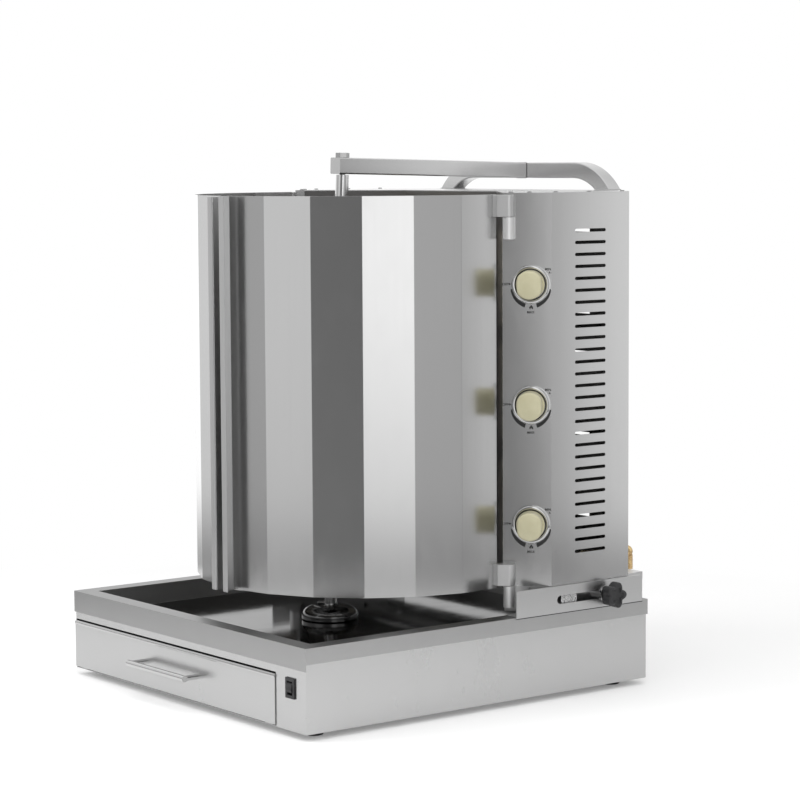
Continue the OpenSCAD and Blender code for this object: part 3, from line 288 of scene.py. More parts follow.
steelSeam = polished("seam_steel", 0.2, 0.4, spread=0.1)
steelHot = heated("heated_steel", 0.22)
brass = brassy("turned_brass")
stone = ceramic("burner_ceramic")
cream = plastic("cream_plastic", (0.54, 0.51, 0.345, 1), (0.5, 0.47, 0.31, 1), 0.34, coat=0.2)
black = plastic("black_plastic", (0.028, 0.028, 0.03, 1), (0.016, 0.016, 0.017, 1), 0.42)
rubber = plastic("black_rubber", (0.03, 0.03, 0.03, 1), (0.018, 0.018, 0.018, 1), 0.75, depth=0.2)
enamelGray = enamel("gray_enamel", (0.2, 0.21, 0.22, 1))
ink = plastic("black_print", (0.012, 0.012, 0.012, 1), (0.02, 0.02, 0.02, 1), 0.5)
print("finishes made")


def place(name, bm, material, body, slot=None, nodes=(), smooth=32):
    for face in bm.faces:
        face.smooth = True
    for edge in bm.edges:
        edge.smooth = not edge.is_manifold or edge.calc_face_angle() < radians(smooth)
    data = bpy.data.meshes.new(name)
    bm.to_mesh(data)
    bm.free()
    data.materials.append(material)
    piece = bpy.data.objects.new(name, data)
    bpy.context.collection.objects.link(piece)
    normals = piece.modifiers.new("normals", "WEIGHTED_NORMAL")
    normals.keep_sharp = True
    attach(piece, body)
    if nodes:
        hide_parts(*nodes)
    return piece


# A CAD node's shape with flat faces merged, its bends rounded and its sharp edges eased
easing = {"merge": 0.004, "flat": 0.4, "bendSteps": 3}


def eased(node, material, edge=0.35, limit=32, bend=None, steps=2, smooth=32):
    bm = bmesh.new()
    bm.from_mesh(frame["nodes"][node].data)
    bmesh.ops.remove_doubles(bm, verts=bm.verts, dist=easing["merge"] * mm)
    bmesh.ops.dissolve_limit(bm, angle_limit=radians(easing["flat"]), verts=bm.verts,
                             edges=bm.edges)
    rounds = [(*bend, easing["bendSteps"])] if bend else []
    for low, high, width, count in rounds + [(limit, 180, edge, steps)]:
        chosen = [e for e in bm.edges if e.is_manifold
                  and radians(low) < e.calc_face_angle() < radians(high)]
        bmesh.ops.bevel(bm, geom=chosen, offset=width * mm, segments=count, profile=0.5,
                        affect="EDGES", clamp_overlap=True)
    return place(node + "_eased", bm, material, bodyOf[node], slotOf[node], [node], smooth)


def carried(material, *nodes):
    for node in nodes:
        slots = frame["nodes"][node].data.materials
        slots.clear()
        slots.append(material)


def bridge(bm, rings, closed=False):
    for low, high in zip(rings, rings[1:] + ([rings[0]] if closed else [])):
        for i in range(len(low)):
            j = (i + 1) % len(low)
            bm.faces.new((low[i], low[j], high[j], high[i]))


# A solid through loops of points; its ends are closed unless the last loop joins the first
def loft(bm, loops, closed=False):
    rings = [[bm.verts.new(point) for point in loop] for loop in loops]
    bridge(bm, rings, closed)
    if not closed:
        bm.faces.new(rings[0][::-1])
        bm.faces.new(rings[-1])


def circle(radius, height, steps):
    turns = [2 * pi * i / steps for i in range(steps)]
    return [(radius * cos(a) * mm, radius * sin(a) * mm, height * mm) for a in turns]


# Turns a closed outline of (radius, height) points round the z axis
def turned(bm, outline, steps=72):
    loft(bm, [circle(r, z, steps) for r, z in outline], closed=True)


def turnedSolid(bm, outline, steps=72):  # from the axis to the axis, without its points on the axis
    loft(bm, [circle(r, z, steps) for r, z in outline])


def quarter(r, z, radius, start, stop, steps=6):  # an arc of an outline, in degrees
    turns = [radians(start + (stop - start) * i / steps) for i in range(steps + 1)]
    return [(r + radius * cos(a), z + radius * sin(a)) for a in turns]


def finished(bm, matrix=None):
    if matrix:
        bm.transform(matrix)
    bmesh.ops.recalc_face_normals(bm, faces=bm.faces)
    return bm


def moved(x, y, z):  # in millimetres
    return Matrix.Translation((x * mm, y * mm, z * mm))


# Adds a finished part to a larger mesh
def joined(bm, part):
    data = bpy.data.meshes.new("part")
    part.to_mesh(data)
    part.free()
    bm.from_mesh(data)
    bpy.data.meshes.remove(data)


# A new mesh of what an object with modifiers, or a text, looks like
def evaluated(thing):
    bpy.context.view_layer.update()
    graph = bpy.context.evaluated_depsgraph_get()
    return bpy.data.meshes.new_from_object(thing.evaluated_get(graph))


easedNodes = {
    "base_casing": (steelBase, {"edge": 0.4}), "grease_tray": (steelTray, {"edge": 0.5}),
    "bottom_plate": (steelBase, {}), "feet": (rubber, {"edge": 1.2}),
    "drawer_runners": (steelBase, {"edge": 0.3}), "drawer_box": (steelBox, {"edge": 0.35}),
    "drawer_front": (steelBase, {"edge": 0.3}), "drawer_handle": (steelBright, {"edge": 0.8}),
    "slide_bracket_left": (steelSide, {"edge": 0.4}),
    "slide_bracket_right": (steelSide, {"edge": 0.4}),
    "power_gland": (black, {"edge": 0.6}), "switch_frame": (black, {"edge": 0.5}),
    "switch_rocker": (black, {"edge": 0.5}),
    "meat_plate": (steelBox, {"edge": 0.5}), "spit_rod": (steelBright, {"edge": 0.5}),
    "cross_pin": (steelBright, {"edge": 0.3}), "drive_shaft": (steelBright, {}),
    "side_casing_left": (steelPanel, {"edge": 0.35}),
    "side_casing_right": (steelPanel, {"edge": 0.35}), "rear_cover": (steelPanel, {"edge": 0.3}),
    "top_plate": (steelBase, {"edge": 0.4}),
    "slide_frame": (steelSide, {"edge": 0.4}), "heat_shield": (steelHot, {"edge": 0.3}),
    "gas_inlet": (brass, {"edge": 0.25, "limit": 40}),
    "arch": (steelTube, {"edge": 0.3}), "arm": (steelTube, {"edge": 0.3}),
    "top_bolt": (steelBolt, {"edge": 0.7}), "tower_hinges": (steelHinge, {"edge": 0.5}),
    "clamp_washers": (chrome, {"edge": 0.4}),
    "door_left": (steelDoor, {"edge": 0.3, "bend": (8, 25, 0.7)}),
    "door_right": (steelDoor, {"edge": 0.3, "bend": (8, 25, 0.7)}),
    "door_grip_left": (steelGrip, {"edge": 0.25}), "door_grip_right": (steelGrip, {"edge": 0.25}),
    "door_hinges_left": (steelLeaf, {"edge": 0.6}),
    "door_hinges_right": (steelLeaf, {"edge": 0.6}),
}
for node, (material, settings) in easedNodes.items():
    eased(node, material, **settings)
carried(steelHot, "burner_housings", "burner_guards", "thermocouples")
carried(stone, "burner_plaques")
carried(brass, "gas_manifold", "gas_valves", "burner_pipes")
carried(steelBright, "thrust_ball", "hinge_pins", "valve_stem_low", "valve_stem_middle",
        "valve_stem_high")
carried(rubber, "shaft_seal")
carried(enamelGray, "drive_gearbox", "drive_motor")
print("frame's shapes finished")

# The gas knobs' places on the slanted panel: x towards the back, y up, z out of the panel
outward = Vector((sin(pi / 4), -sin(pi / 4), 0))
alongPanel = Vector((sin(pi / 4), sin(pi / 4), 0))
knobs = {level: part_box("gas_knob_" + level) for level in ("low", "middle", "high")}


def panelFrame(level):
    low, high = knobs[level]
    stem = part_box("valve_stem_" + level)
    centre = (stem[0] + stem[1]) / 2
    centre.z = (low.z + high.z) / 2
    ringFoot = min(v.co.dot(outward) for v in frame["nodes"]["knob_rings"].data.vertices)
    centre += outward * (ringFoot - centre.dot(outward))
    return Matrix.Translation(centre) @ Matrix((
        (alongPanel.x, 0, outward.x, 0), (alongPanel.y, 0, outward.y, 0), (0, 1, 0, 0),
        (0, 0, 0, 1)))


knob = {"radius": 21.6, "back": 4.2, "baseTop": 13.2, "bore": 4.05, "footRound": 0.8,
        "baseRound": 1.6, "sunk": 0.6, "reach": 38, "gripRadius": 21.3, "halfFlats": 18.8,
        "edge": 3.4, "crown": 1.4, "crownSteps": (0.0, 0.25, 0.5, 0.75, 0.94), "soft": 16,
        "steps": 96}
ring = {"hole": 23.5, "radius": 28.9, "height": 8, "round": 3.4, "roundSteps": 10, "lipIn": 0.5,
        "lipDrop": 0.25, "slope": 1.6, "steps": 96}
# Black sleeves in the ring holes that darken the gap round each knob: painted shade
shadeSleeve = {"inner": 22.3, "outer": 23.46, "low": 0.2, "high": 6.1, "lipIn": 0.3, "lipDrop": 0.4,
         "steps": 96}


# A circle with two flats, blended softly into them
def gripLoop(inset, height):
    loop = []
    thinnest, soft = 0.2, knob["soft"]
    for i in range(knob["steps"]):
        turn = 2 * pi * i / knob["steps"]
        radius, half = knob["gripRadius"] - inset, max(knob["halfFlats"] - inset, thinnest)
        x = radius * cos(turn)
        x *= half / (abs(x) ** soft + half ** soft) ** (1 / soft)
        loop.append((x * mm, radius * sin(turn) * mm, height * mm))
    return loop


def gasKnob(level):
    k = knob
    foot, top = k["footRound"], k["baseRound"]
    bm = bmesh.new()
    shoulder = k["reach"] - k["crown"] - k["edge"]
    levels = [(0.0, k["baseTop"] - k["sunk"]), (0.0, shoulder)]
    levels += [(k["edge"] * (1 - cos(radians(a))), shoulder + k["edge"] * sin(radians(a)))
               for a in range(15, 90, 15)]
    for share in k["crownSteps"]:
        inset = k["edge"] + (k["gripRadius"] - k["edge"]) * share
        levels.append((inset, k["reach"] - k["crown"] * (1 - share) ** 2))
    loft(bm, [gripLoop(inset, height) for inset, height in levels])
    turned(bm, [(k["bore"], k["back"])]
           + quarter(k["radius"] - foot, k["back"] + foot, foot, -90, 0)
           + quarter(k["radius"] - top, k["baseTop"] - top, top, 0, 90)
           + [(k["bore"], k["baseTop"])], k["steps"])
    place(f"gas_knob_{level}_moulded", finished(bm, panelFrame(level)), cream, "knob_" + level,
          "cream_plastic", ["gas_knob_" + level], 40)


# The same turned outline at all three knobs, in one piece
def atKnobs(name, outline, steps, material, slot, nodes=(), smooth=32):
    bm = bmesh.new()
    for level in knobs:
        part = bmesh.new()
        turned(part, outline, steps)
        part.transform(panelFrame(level))
        joined(bm, part)
    place(name, finished(bm), material, "tower", slot, nodes, smooth)


def knobRings():
    r, edge = ring, ring["round"]
    outline = [(r["hole"], 0), (r["radius"], 0)]
    outline += quarter(r["radius"] - edge, r["height"] - edge, edge, 0, 90, r["roundSteps"])
    outline += [(r["hole"] + r["lipIn"], r["height"] - r["lipDrop"]),
                (r["hole"], r["height"] - r["slope"])]
    atKnobs("knob_rings_chromed", outline, r["steps"], chrome, "chrome_ring", ["knob_rings"], 40)


def knobShadeSleeves():  # black sleeves inside the rings: painted shade in the gap between knob and ring
    r = shadeSleeve
    outline = [(r["inner"], r["low"]), (r["outer"], r["low"]), (r["outer"], r["high"]),
               (r["inner"] + r["lipIn"], r["high"]), (r["inner"], r["high"] - r["lipDrop"])]
    atKnobs("knob_ring_shade_sleeves", outline, r["steps"], black, "black_plastic")


# The dome over the drive shaft, with the slot that the cross pin turns in
dome = {"at": (0, -75.6), "radius": 44.5, "crown": 18, "low": 104, "top": 126, "side": 5, "wall": 2,
        "hub": 16, "hubLow": 107.5, "shaft": 8.05, "shaftTop": 117.4, "rod": 11.7, "lip": 0.7,
        "slotHalf": 4, "slotLow": 123, "slotFrom": -22.2, "slotTo": 12.9, "slotTurn": 50,
        "steps": 18, "around": 128}


def splashDome():
    d = dome
    rise, edge = d["top"] - d["low"] - d["side"], d["low"] + d["side"]
    turns = [radians(90 * i / d["steps"]) for i in range(d["steps"] + 1)]
    outer = [(d["crown"] + (d["radius"] - d["crown"]) * cos(a), edge + rise * sin(a))
             for a in turns[::-1]]
    reach = d["radius"] - d["wall"] - d["hub"]
    inner = [(d["hub"] + reach * cos(a), edge + (rise - 3 * d["wall"]) * sin(a)) for a in turns]
    outline = [(d["shaft"], d["hubLow"]), (d["shaft"], d["shaftTop"]), (d["rod"], d["shaftTop"]),
               (d["rod"], d["top"] - d["lip"]), (d["rod"] + d["lip"], d["top"])] + outer
    outline += [(d["radius"], d["low"] + d["lip"]), (d["radius"] - d["lip"], d["low"]),
                (d["radius"] - d["wall"], d["low"])] + inner + [(d["hub"], d["hubLow"])]
    bm = bmesh.new()
    turned(bm, outline, d["around"])
    finished(bm)
    slot = bmesh.new()
    left, right, half = d["slotFrom"], d["slotTo"], d["slotHalf"]
    loft(slot, [[(x * mm, y * mm, z * mm)
                 for x, y in ((left, -half), (right, -half), (right, half), (left, half))]
                for z in (d["slotLow"], d["top"] + 1)])
    slot.transform(Matrix.Rotation(radians(d["slotTurn"]), 4, "Z"))
    cutter = bpy.data.objects.new("slot", bpy.data.meshes.new("slot"))
    finished(slot).to_mesh(cutter.data)
    slot.free()
    body = bpy.data.objects.new("body", bpy.data.meshes.new("body"))
    bm.to_mesh(body.data)
    bm.free()
    for made in (cutter, body):
        bpy.context.collection.objects.link(made)
    cut = body.modifiers.new("slot", "BOOLEAN")
    cut.object, cut.operation, cut.solver = cutter, "DIFFERENCE", "EXACT"
    bm = bmesh.new()
    bm.from_mesh(evaluated(body))
    for made in (cutter, body):
        bpy.data.objects.remove(made)
    bm.transform(moved(*d["at"], 0))
    place("splash_dome_spun", bm, steelPaintedReflection, bodyOf["splash_dome"], slotOf["splash_dome"],
          ["splash_dome"], 40)


# Rollers: a tyre with a rounded tread, a groove, a bearing and the axle's chamfered end
roller = {"reach": 318.5, "axleEnd": 1, "axle": 5, "radius": 16.2, "width": 14, "round": 1.2,
          "face": [(13.4, 0), (12.8, -1), (10.4, -1), (9.8, -0.15), (7.6, -0.15), (7.1, -1.1)],
          "fit": 0.15, "chamfer": 0.6, "steps": 64, "axleSteps": 48, "z": 153.5,
          "y": {"front_rollers": 144.5, "rear_rollers": 268}}


def rollers(node):
    r = roller
    bore, tread = r["axle"] + r["fit"], r["radius"] - r["round"]
    wheel = [(bore, -r["width"]), (tread, -r["width"])]
    wheel += quarter(tread, -r["width"] + r["round"], r["round"], -90, 0)
    wheel += quarter(tread, -r["round"], r["round"], 0, 90)
    wheel += r["face"] + [(bore, r["face"][-1][1])]
    bm = bmesh.new()
    for side in (1, -1):
        part = bmesh.new()
        turned(part, wheel, r["steps"])
        part.transform(moved(side * r["reach"], 0, 0) @ Matrix.Rotation(side * pi / 2, 4, "Y"))
        joined(bm, part)
    end, thin = r["reach"] - r["axleEnd"], r["axle"] - r["chamfer"]
    part = bmesh.new()
    turnedSolid(part, [(thin, -end), (r["axle"], -end + r["chamfer"]),
                       (r["axle"], end - r["chamfer"]), (thin, end)], r["axleSteps"])
    part.transform(Matrix.Rotation(pi / 2, 4, "Y"))
    joined(bm, part)
    bm.transform(moved(0, r["y"][node], r["z"]))
    place(node + "_turned", finished(bm), steelBright, bodyOf[node], slotOf[node], [node], 35)


# Star knobs: a five-lobed head with rounded edges on a hub and stud
star = {"face": 322, "y": 215.7, "z": 153.5, "studIn": 22, "stud": 4, "studRound": 0.7, "hub": 9,
        "hubFrom": 2.7, "hubRound": 0.6, "hubSteps": 48, "headFrom": 9.7, "headTo": 27.7,
        "reach": 20.5, "waist": 14.4, "lobes": 5, "blunt": 0.8, "edge": 3.2, "rim": 3.2,
        "dish": 1.6, "dishFrom": 4.4, "dishTo": 8, "steps": 120}


def starLoop(inset, height):
    loop = []
    for i in range(star["steps"]):
        turn = 2 * pi * i / star["steps"]
        wave = (0.5 + 0.5 * cos(star["lobes"] * turn)) ** star["blunt"]
        radius = star["waist"] + (star["reach"] - star["waist"]) * wave - inset
        loop.append((-radius * sin(turn) * mm, radius * cos(turn) * mm, height * mm))
    return loop


def starKnob(side, name):
    t = star
    bm = bmesh.new()
    low, high, edge = t["headFrom"], t["headTo"], t["edge"]
    turns = [radians(a) for a in range(0, 91, 15)]
    levels = [(edge * (1 - sin(a)), low + edge * (1 - cos(a))) for a in turns]
    levels += [(edge * (1 - cos(a)), high - edge * (1 - sin(a))) for a in turns]
    levels += [(edge + t["rim"], high), (edge + t["dishFrom"], high - t["dish"]),
               (edge + t["dishTo"], high - t["dish"])]
    loft(bm, [starLoop(inset, height) for inset, height in levels])
    turnedSolid(bm, [(t["stud"] - t["studRound"], -t["studIn"]),
                     (t["stud"], t["studRound"] - t["studIn"]), (t["stud"], t["hubFrom"]),
                     (t["hub"] - t["hubRound"], t["hubFrom"]),
                     (t["hub"], t["hubFrom"] + t["hubRound"]), (t["hub"], t["headFrom"] + 1)],
                t["hubSteps"])
    turn = moved(side * t["face"], t["y"], t["z"]) @ Matrix.Rotation(side * pi / 2, 4, "Y")
    node = "clamp_knob_" + name
    place(node + "_moulded", finished(bm, turn), black, bodyOf[node], slotOf[node], [node], 38)


# Weld beads, rippled along their run
weld = {"radius": {"foot": 1.3, "seam": 0.5}, "ripple": 0.16, "pitch": 1.9, "step": 0.45,
        "sides": 8, "corner": 2.2}
archFoot = {"x": 196.35, "y": 332.35, "z": 771.2, "halfX": 17.6, "halfY": 12.7}
armEnd = {"y": 319.3, "z": 802.3, "half": 12.7}


def boxPath(halfX, halfY, corner, step):
    points = []
    for cx, cy, start in ((1, 1, 0), (-1, 1, 90), (-1, -1, 180), (1, -1, 270)):
        midX, midY = cx * (halfX - corner), cy * (halfY - corner)
        turns = [radians(start + a) for a in range(0, 91, 15)]
        points += [(midX + corner * cos(a), midY + corner * sin(a)) for a in turns]
    run = []
    for (ax, ay), (bx, by) in zip(points, points[1:] + points[:1]):
        count = max(1, round(((bx - ax) ** 2 + (by - ay) ** 2) ** 0.5 / step))
        run += [(ax + (bx - ax) * i / count, ay + (by - ay) * i / count) for i in range(count)]
    return run


def beadRing(halfX, halfY, bead):
    run = boxPath(halfX, halfY, weld["corner"], weld["step"])
    turns = [2 * pi * k / weld["sides"] for k in range(weld["sides"])]
    up = Vector((0, 0, 1))
    loops = []
    for i, (x, y) in enumerate(run):
        bx, by = run[(i + 1) % len(run)]
        ax, ay = run[i - 1]
        along = Vector((bx - ax, by - ay, 0)).normalized()
        out = Vector((along.y, -along.x, 0))
        wave = sin(2 * pi * i * weld["step"] / weld["pitch"])
        radius = weld["radius"][bead] * (1 + weld["ripple"] * wave)
        loops.append([tuple((Vector((x, y, 0)) + (out * cos(a) + up * sin(a)) * radius) * mm)
                      for a in turns])
    bm = bmesh.new()
    loft(bm, loops, closed=True)
    return bm


def weldBeads():
    for side, name in ((-1, "left"), (1, "right")):
        bm = beadRing(archFoot["halfX"], archFoot["halfY"], "foot")
        bm.transform(moved(side * archFoot["x"], archFoot["y"], archFoot["z"]))
        place("arch_weld_" + name, finished(bm), steelWeld, "tower", "steel_bright", (), 60)
    bm = beadRing(armEnd["half"], armEnd["half"], "seam")
    bm.transform(moved(0, armEnd["y"], armEnd["z"]) @ Matrix.Rotation(pi / 2, 4, "X"))
    place("arm_weld", finished(bm), steelSeam, "tower", "steel_bright", (), 60)


# Small socket screws: a rounded head with a six-sided recess
screwHead = {"radius": 3.5, "height": 1.8, "sunk": 0.3, "side": 0.35, "round": 0.6, "lip": 0.94,
             "floor": 0.3, "socket": 1.5, "steps": 24, "inset": 9, "rows": 4, "columns": 3}


def screw(bm, matrix):
    h = screwHead
    steps, side, edge = h["steps"], h["height"] * h["side"], h["height"] * h["round"]
    turns = [2 * pi * i / steps for i in range(steps)]
    hexagon = [h["socket"] / cos(((a + pi / 6) % (pi / 3)) - pi / 6) for a in turns]
    part = bmesh.new()
    loops = [circle(h["radius"], -h["sunk"], steps), circle(h["radius"], side, steps)]
    loops += [circle(r, z, steps) for r, z in quarter(h["radius"] - edge, side, edge, 15, 90, 4)]
    loops += [[(r * cos(a) * mm, r * sin(a) * mm, h["height"] * share * mm)
               for a, r in zip(turns, hexagon)] for share in (h["lip"], h["floor"])]
    loft(part, loops)
    part.transform(matrix)
    joined(bm, part)


def topScrews():
    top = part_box("top_screws")[1].z
    heads = []
    for v in frame["nodes"]["top_screws"].data.vertices:
        near = [head for head in heads
                if (head[0] - v.co).xy.length < 2 * screwHead["radius"] * mm]
        if near:
            near[0].append(v.co)
        else:
            heads.append([v.co])
    bm = bmesh.new()
    for head in heads:
        x, y = ((min(co[k] for co in head) + max(co[k] for co in head)) / 2 for k in (0, 1))
        screw(bm, Matrix.Translation((x, y, top - screwHead["height"] * mm)))
    place("top_screws_turned", finished(bm), steelBolt, bodyOf["top_screws"], slotOf["top_screws"],
          ["top_screws"], 40)


# Socket screws round the rear cover's edge
def coverScrews():
    low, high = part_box("rear_cover")
    inset, rows, columns = (screwHead[key] for key in ("inset", "rows", "columns"))
    inset *= mm
    bm = bmesh.new()
    for row in range(rows):
        for column in range(columns):
            if 0 < row < rows - 1 and 0 < column < columns - 1:
                continue
            x = low.x + inset + (high.x - low.x - 2 * inset) * column / (columns - 1)
            z = low.z + inset + (high.z - low.z - 2 * inset) * row / (rows - 1)
            screw(bm, Matrix.Translation((x, high.y, z)) @ Matrix.Rotation(-pi / 2, 4, "X"))
    place("rear_cover_screws", finished(bm), steelBolt, bodyOf["rear_cover"], "steel_bright",
          (), 40)


# A thin black rubber strip under each slide bracket: painted shade for the shadowed gap between the
# bracket and the tray skirt
seam = {"deep": 0.5, "proud": 0.12, "below": 0.7, "above": 0.5}


def bracketShadeStrip(side, name):
    low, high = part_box("slide_bracket_" + name)
    face, foot = max(-low.x, high.x) / mm, low.z / mm
    inner, outer = face - seam["deep"], face + seam["proud"]
    under, over = foot - seam["below"], foot + seam["above"]
    bm = bmesh.new()
    loft(bm, [[(side * x * mm, y, z * mm)
               for x, z in ((inner, under), (outer, under), (outer, over), (inner, over))]
              for y in (low.y, high.y)])
    place("bracket_shade_strip_" + name, finished(bm), rubber, bodyOf["slide_bracket_" + name], "rubber")


# Marks printed round each gas knob, in the panel's plane
dial = {"lift": 0.06, "arcs": [(194, 255), (-14, -75)], "inner": (29.3, 29.9),
        "outer": (31.2, 36.2), "swell": 0.8, "steps": 24, "dotAt": (-32.2, 0.4), "dotR": 1.5,
        "dotSteps": 20, "flameAt": (0.5, -37.3), "flameSize": (6.2, 6.9), "markAt": (28.2, 16.2),
        "markSize": (2.72, 3.4)}
words = {"size": 5.2, "bolder": 0.14, "smooth": 3, "OFF": (-38.6, -1.5), "MAX": (-0.2, -43.8),
         "MIN": (25.8, 20.9)}


def printed(bm, outline):
    loft(bm, [[(x * mm, y * mm, z * mm) for x, y in outline] for z in (0, dial["lift"])])


# A flame's outline as shares of its size: its right side, and the tongue left open at its foot
flameSide = [(0, 1), (0.14, 0.74), (0.42, 0.5), (0.5, 0.24), (0.38, 0.05), (0.16, 0)]
flameTongue = [(0.13, 0.16), (0, 0.36), (-0.13, 0.16)]


def flame(width, height):
    side, tongue = ([(x * width, y * height) for x, y in shares]
                    for shares in (flameSide, flameTongue))
    return side + tongue + [(-x, y) for x, y in side[:0:-1]]


def dialMarks(level):
    d, steps = dial, dial["steps"]
    bm = bmesh.new()
    shares = [(i / steps) ** d["swell"] for i in range(steps + 1)]
    inner, outer = ([thin + (thick - thin) * share for share in shares]
                    for thin, thick in (d["inner"], d["outer"]))
    for start, stop in d["arcs"]:
        turns = [radians(start + (stop - start) * i / steps) for i in range(steps + 1)]
        band = [(r * cos(a), r * sin(a)) for r, a in zip(outer, turns)]
        band += [(r * cos(a), r * sin(a)) for r, a in zip(inner[::-1], turns[::-1])]
        printed(bm, band if stop > start else band[::-1])
    turns = [2 * pi * i / d["dotSteps"] for i in range(d["dotSteps"])]
    printed(bm, [(d["dotAt"][0] + d["dotR"] * cos(a), d["dotAt"][1] + d["dotR"] * sin(a))
                 for a in turns])
    for (atX, atY), size in ((d["flameAt"], d["flameSize"]), (d["markAt"], d["markSize"])):
        printed(bm, [(atX + x, atY + y) for x, y in flame(*size)][::-1])
    bm.transform(panelFrame(level))
    place("dial_marks_" + level, bm, ink, "tower", "black_plastic")


def dialWord(level, word):
    letters = bpy.data.curves.new("letters", "FONT")
    letters.body, letters.size, letters.align_x = word, words["size"] * mm, "CENTER"
    letters.extrude, letters.resolution_u = dial["lift"] * mm / 2, words["smooth"]
    letters.offset = words["bolder"] * mm
    holder = bpy.data.objects.new("letters", letters)
    bpy.context.collection.objects.link(holder)
    bm = bmesh.new()
    bm.from_mesh(evaluated(holder))
    bpy.data.objects.remove(holder)
    bm.transform(panelFrame(level) @ moved(*words[word], dial["lift"] / 2))
    place(f"dial_word_{word.lower()}_{level}", bm, ink, "tower", "black_plastic")


for level in knobs:
    gasKnob(level)
    dialMarks(level)
    for word in ("OFF", "MAX", "MIN"):
        dialWord(level, word)
knobRings()
knobShadeSleeves()
print("knobs and dials made")
splashDome()
for node in roller["y"]:
    rollers(node)
for side, name in ((1, "right"), (-1, "left")):
    starKnob(side, name)
    # the black strip under each bracket is painted shade
    bracketShadeStrip(side, name)
weldBeads()
topScrews()
coverScrews()
print("turned pieces, welds and screws made")

# The studio: a pale floor, a light tent seen only in reflections, and soft lamps
tent = {"radius": 1.2, "low": -0.002, "high": 1.9, "sides": 180, "dim": 0.05, "bright": 0.65,
        "footFrom": 0.0, "footTo": 0.2, "footTone": 0.35,
        "tones": {-180: (0.8, 0.75), -108: (1.35, 1.25), -84: (1.35, 1.25), -74: (0.9, 0.85),
                  -55: (0.87, 0.8), -38: (0.56, 0.5), -12: (0.5, 0.47), -4: (0.85, 0.78),
                  16: (0.84, 0.76), 24: (0.4, 0.4), 30: (0.19, 0.22), 48: (0.19, 0.2),
                  53: (0.26, 0.22), 57: (0.6, 0.42), 60.5: (1.45, 1.0), 73: (1.45, 1.0),
                  82: (0.6, 0.55), 104: (0.53, 0.51), 113: (0.46, 0.42), 121: (0.38, 0.34),
                  125: (0.56, 0.5), 128: (0.85, 0.78), 134: (1.05, 0.98), 150: (0.95, 0.9),
                  180: (0.8, 0.75)}}
lamps = {"overhead": {"at": (0.3, -0.4, 3.0), "size": 3.0, "power": 54, "glossy": False},
         "front_left": {"at": (-1.6, -2.6, 2.2), "size": 1.8, "power": 40, "glossy": False},
         "front_right": {"at": (2.8, -1.0, 2.0), "size": 1.6, "power": 30, "glossy": False}}
lampAim = (0, 0, 0.45)
backdrop = {"fill": 0.42, "floorGlow": 0.2, "fadeFrom": 0.75, "fadeTo": 1.35, "floorHalf": 12}
cameraShot = {"at": (3.2575, -2.4348, 0.8253), "yaw": 52.492, "pitch": 5.371, "roll": -0.317,
              "focal": 2587.2, "frame": 800, "sensor": 36}


def stageMesh(name, bm, material):
    data = bpy.data.meshes.new(name)
    bm.to_mesh(data)
    bm.free()
    data.materials.append(material)
    made = bpy.data.objects.new(name, data)
    bpy.context.collection.objects.link(made)
    return made


def rays(f, *kinds):  # 1 for a ray of one of these kinds
    seen = [f.node("LightPath", out=f"Is {kind} Ray") for kind in kinds]
    return sum(seen[1:], seen[0])


# Shadowed grey near the object, and plain white further off, like the photograph's background
def makeFloor():
    f = Finish("pale_floor")
    grit = f.noise((30, 30, 30), 3)
    f.set(color=f.mix(grit, gray(0.84), gray(0.86)), roughness=0.8)
    f.set(glow=(1, 1, 1, 1), glowStrength=rays(f, "Camera") * backdrop["floorGlow"])
    flatWay = f.node("VectorMath", {"operation": "MULTIPLY"}, {0: f.where, 1: (1, 1, 0)})
    away = f.node("VectorMath", {"operation": "LENGTH"}, {0: flatWay}, "Value")
    white = f.node("Emission", {}, {"Color": (1, 1, 1, 1), "Strength": 1.0})
    shown = f.node("MixShader", {}, {0: away.ramp(backdrop["fadeFrom"], backdrop["fadeTo"])
                                     * rays(f, "Camera", "Glossy", "Transmission"),
                                     1: Wire(f, f.shader.outputs[0]), 2: white})
    f.feed(f.tree.nodes["Material Output"].inputs["Surface"], shown)
    bm = bmesh.new()
    bmesh.ops.create_grid(bm, x_segments=1, y_segments=1, size=backdrop["floorHalf"])
    stageMesh("floor", bm, f.material)


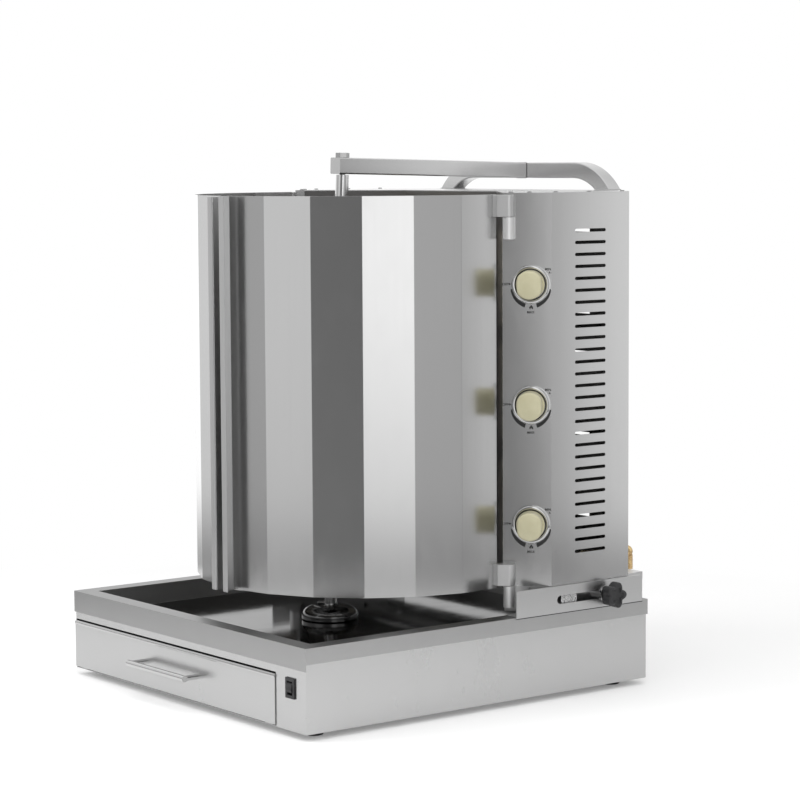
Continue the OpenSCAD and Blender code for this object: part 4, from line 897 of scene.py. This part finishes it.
def makeTent():
    f = Finish("tent_cloth")
    x, y, z = (f.node("SeparateXYZ", {}, {"Vector": f.where}, axis) for axis in "XYZ")
    turn = x.math("ARCTAN2", y * -1) / (2 * pi) + 0.5
    tones = sorted(tent["tones"].items())
    top = max(max(pair) for _, pair in tones)
    high, low = (f.node("ValToRGB", {"stops": [((at + 180) / 360, gray(pair[k] / top))
                                               for at, pair in tones]}, {0: turn}) for k in (0, 1))
    foot = z.ramp(tent["footFrom"], tent["footTo"]) * (1 - tent["footTone"]) + tent["footTone"]
    glow = f.node("Emission", {}, {"Color": f.mix(z.ramp(tent["dim"], tent["bright"]), low, high),
                                   "Strength": foot * top})
    f.feed(f.tree.nodes["Material Output"].inputs["Surface"], glow)
    bm = bmesh.new()
    turns = [2 * pi * i / tent["sides"] for i in range(tent["sides"])]
    rim = [(tent["radius"] * cos(a), tent["radius"] * sin(a)) for a in turns]
    bridge(bm, [[bm.verts.new((*at, height)) for at in rim[::-1]]
                for height in (tent["low"], tent["high"])])
    cloth = stageMesh("tent", bm, f.material)
    cloth.visible_camera = cloth.visible_diffuse = cloth.visible_shadow = False
    cloth.visible_volume_scatter = False


def makeWorld():
    world = bpy.data.worlds.new("studio")
    bpy.context.scene.world = world
    world.use_nodes = True
    f = Finish("studio", world.node_tree)
    seen = rays(f, "Camera", "Glossy", "Transmission")
    level = f.node("MapRange", {}, {"Value": seen, "To Min": backdrop["fill"], "To Max": 1.0})
    ground = world.node_tree.nodes["Background"]
    f.feed(ground.inputs["Color"], (1, 1, 1, 1))
    f.feed(ground.inputs["Strength"], level)


def makeLamp(name, at, size, power, glossy):
    light = bpy.data.lights.new(name, "AREA")
    light.energy, light.size = power, size
    lamp = bpy.data.objects.new(name, light)
    lamp.location = at
    lamp.rotation_mode = "QUATERNION"
    lamp.rotation_quaternion = (Vector(lampAim) - Vector(at)).to_track_quat("-Z", "Y")
    lamp.visible_camera = False
    lamp.visible_glossy = glossy
    bpy.context.collection.objects.link(lamp)


def makeCamera():
    shot = bpy.data.cameras.new("camera")
    shot.sensor_width = cameraShot["sensor"]
    shot.lens = cameraShot["focal"] * shot.sensor_width / cameraShot["frame"]
    yaw, pitch, roll = (radians(cameraShot[k]) for k in ("yaw", "pitch", "roll"))
    ahead = Vector((-sin(yaw) * cos(pitch), cos(yaw) * cos(pitch), -sin(pitch)))
    level = Vector((cos(yaw), sin(yaw), 0))
    above = level.cross(ahead)
    right = level * cos(roll) + above * sin(roll)
    up = above * cos(roll) - level * sin(roll)
    camera = bpy.data.objects.new("camera", shot)
    camera.matrix_world = Matrix.Translation(cameraShot["at"]) @ Matrix(
        (right, up, -ahead)).transposed().to_4x4()
    bpy.context.collection.objects.link(camera)
    bpy.context.scene.camera = camera


makeFloor()
makeTent()
makeWorld()
for name, settings in lamps.items():
    makeLamp(name, **settings)
makeCamera()
bpy.context.scene.view_settings.view_transform = "Standard"
print("studio set")
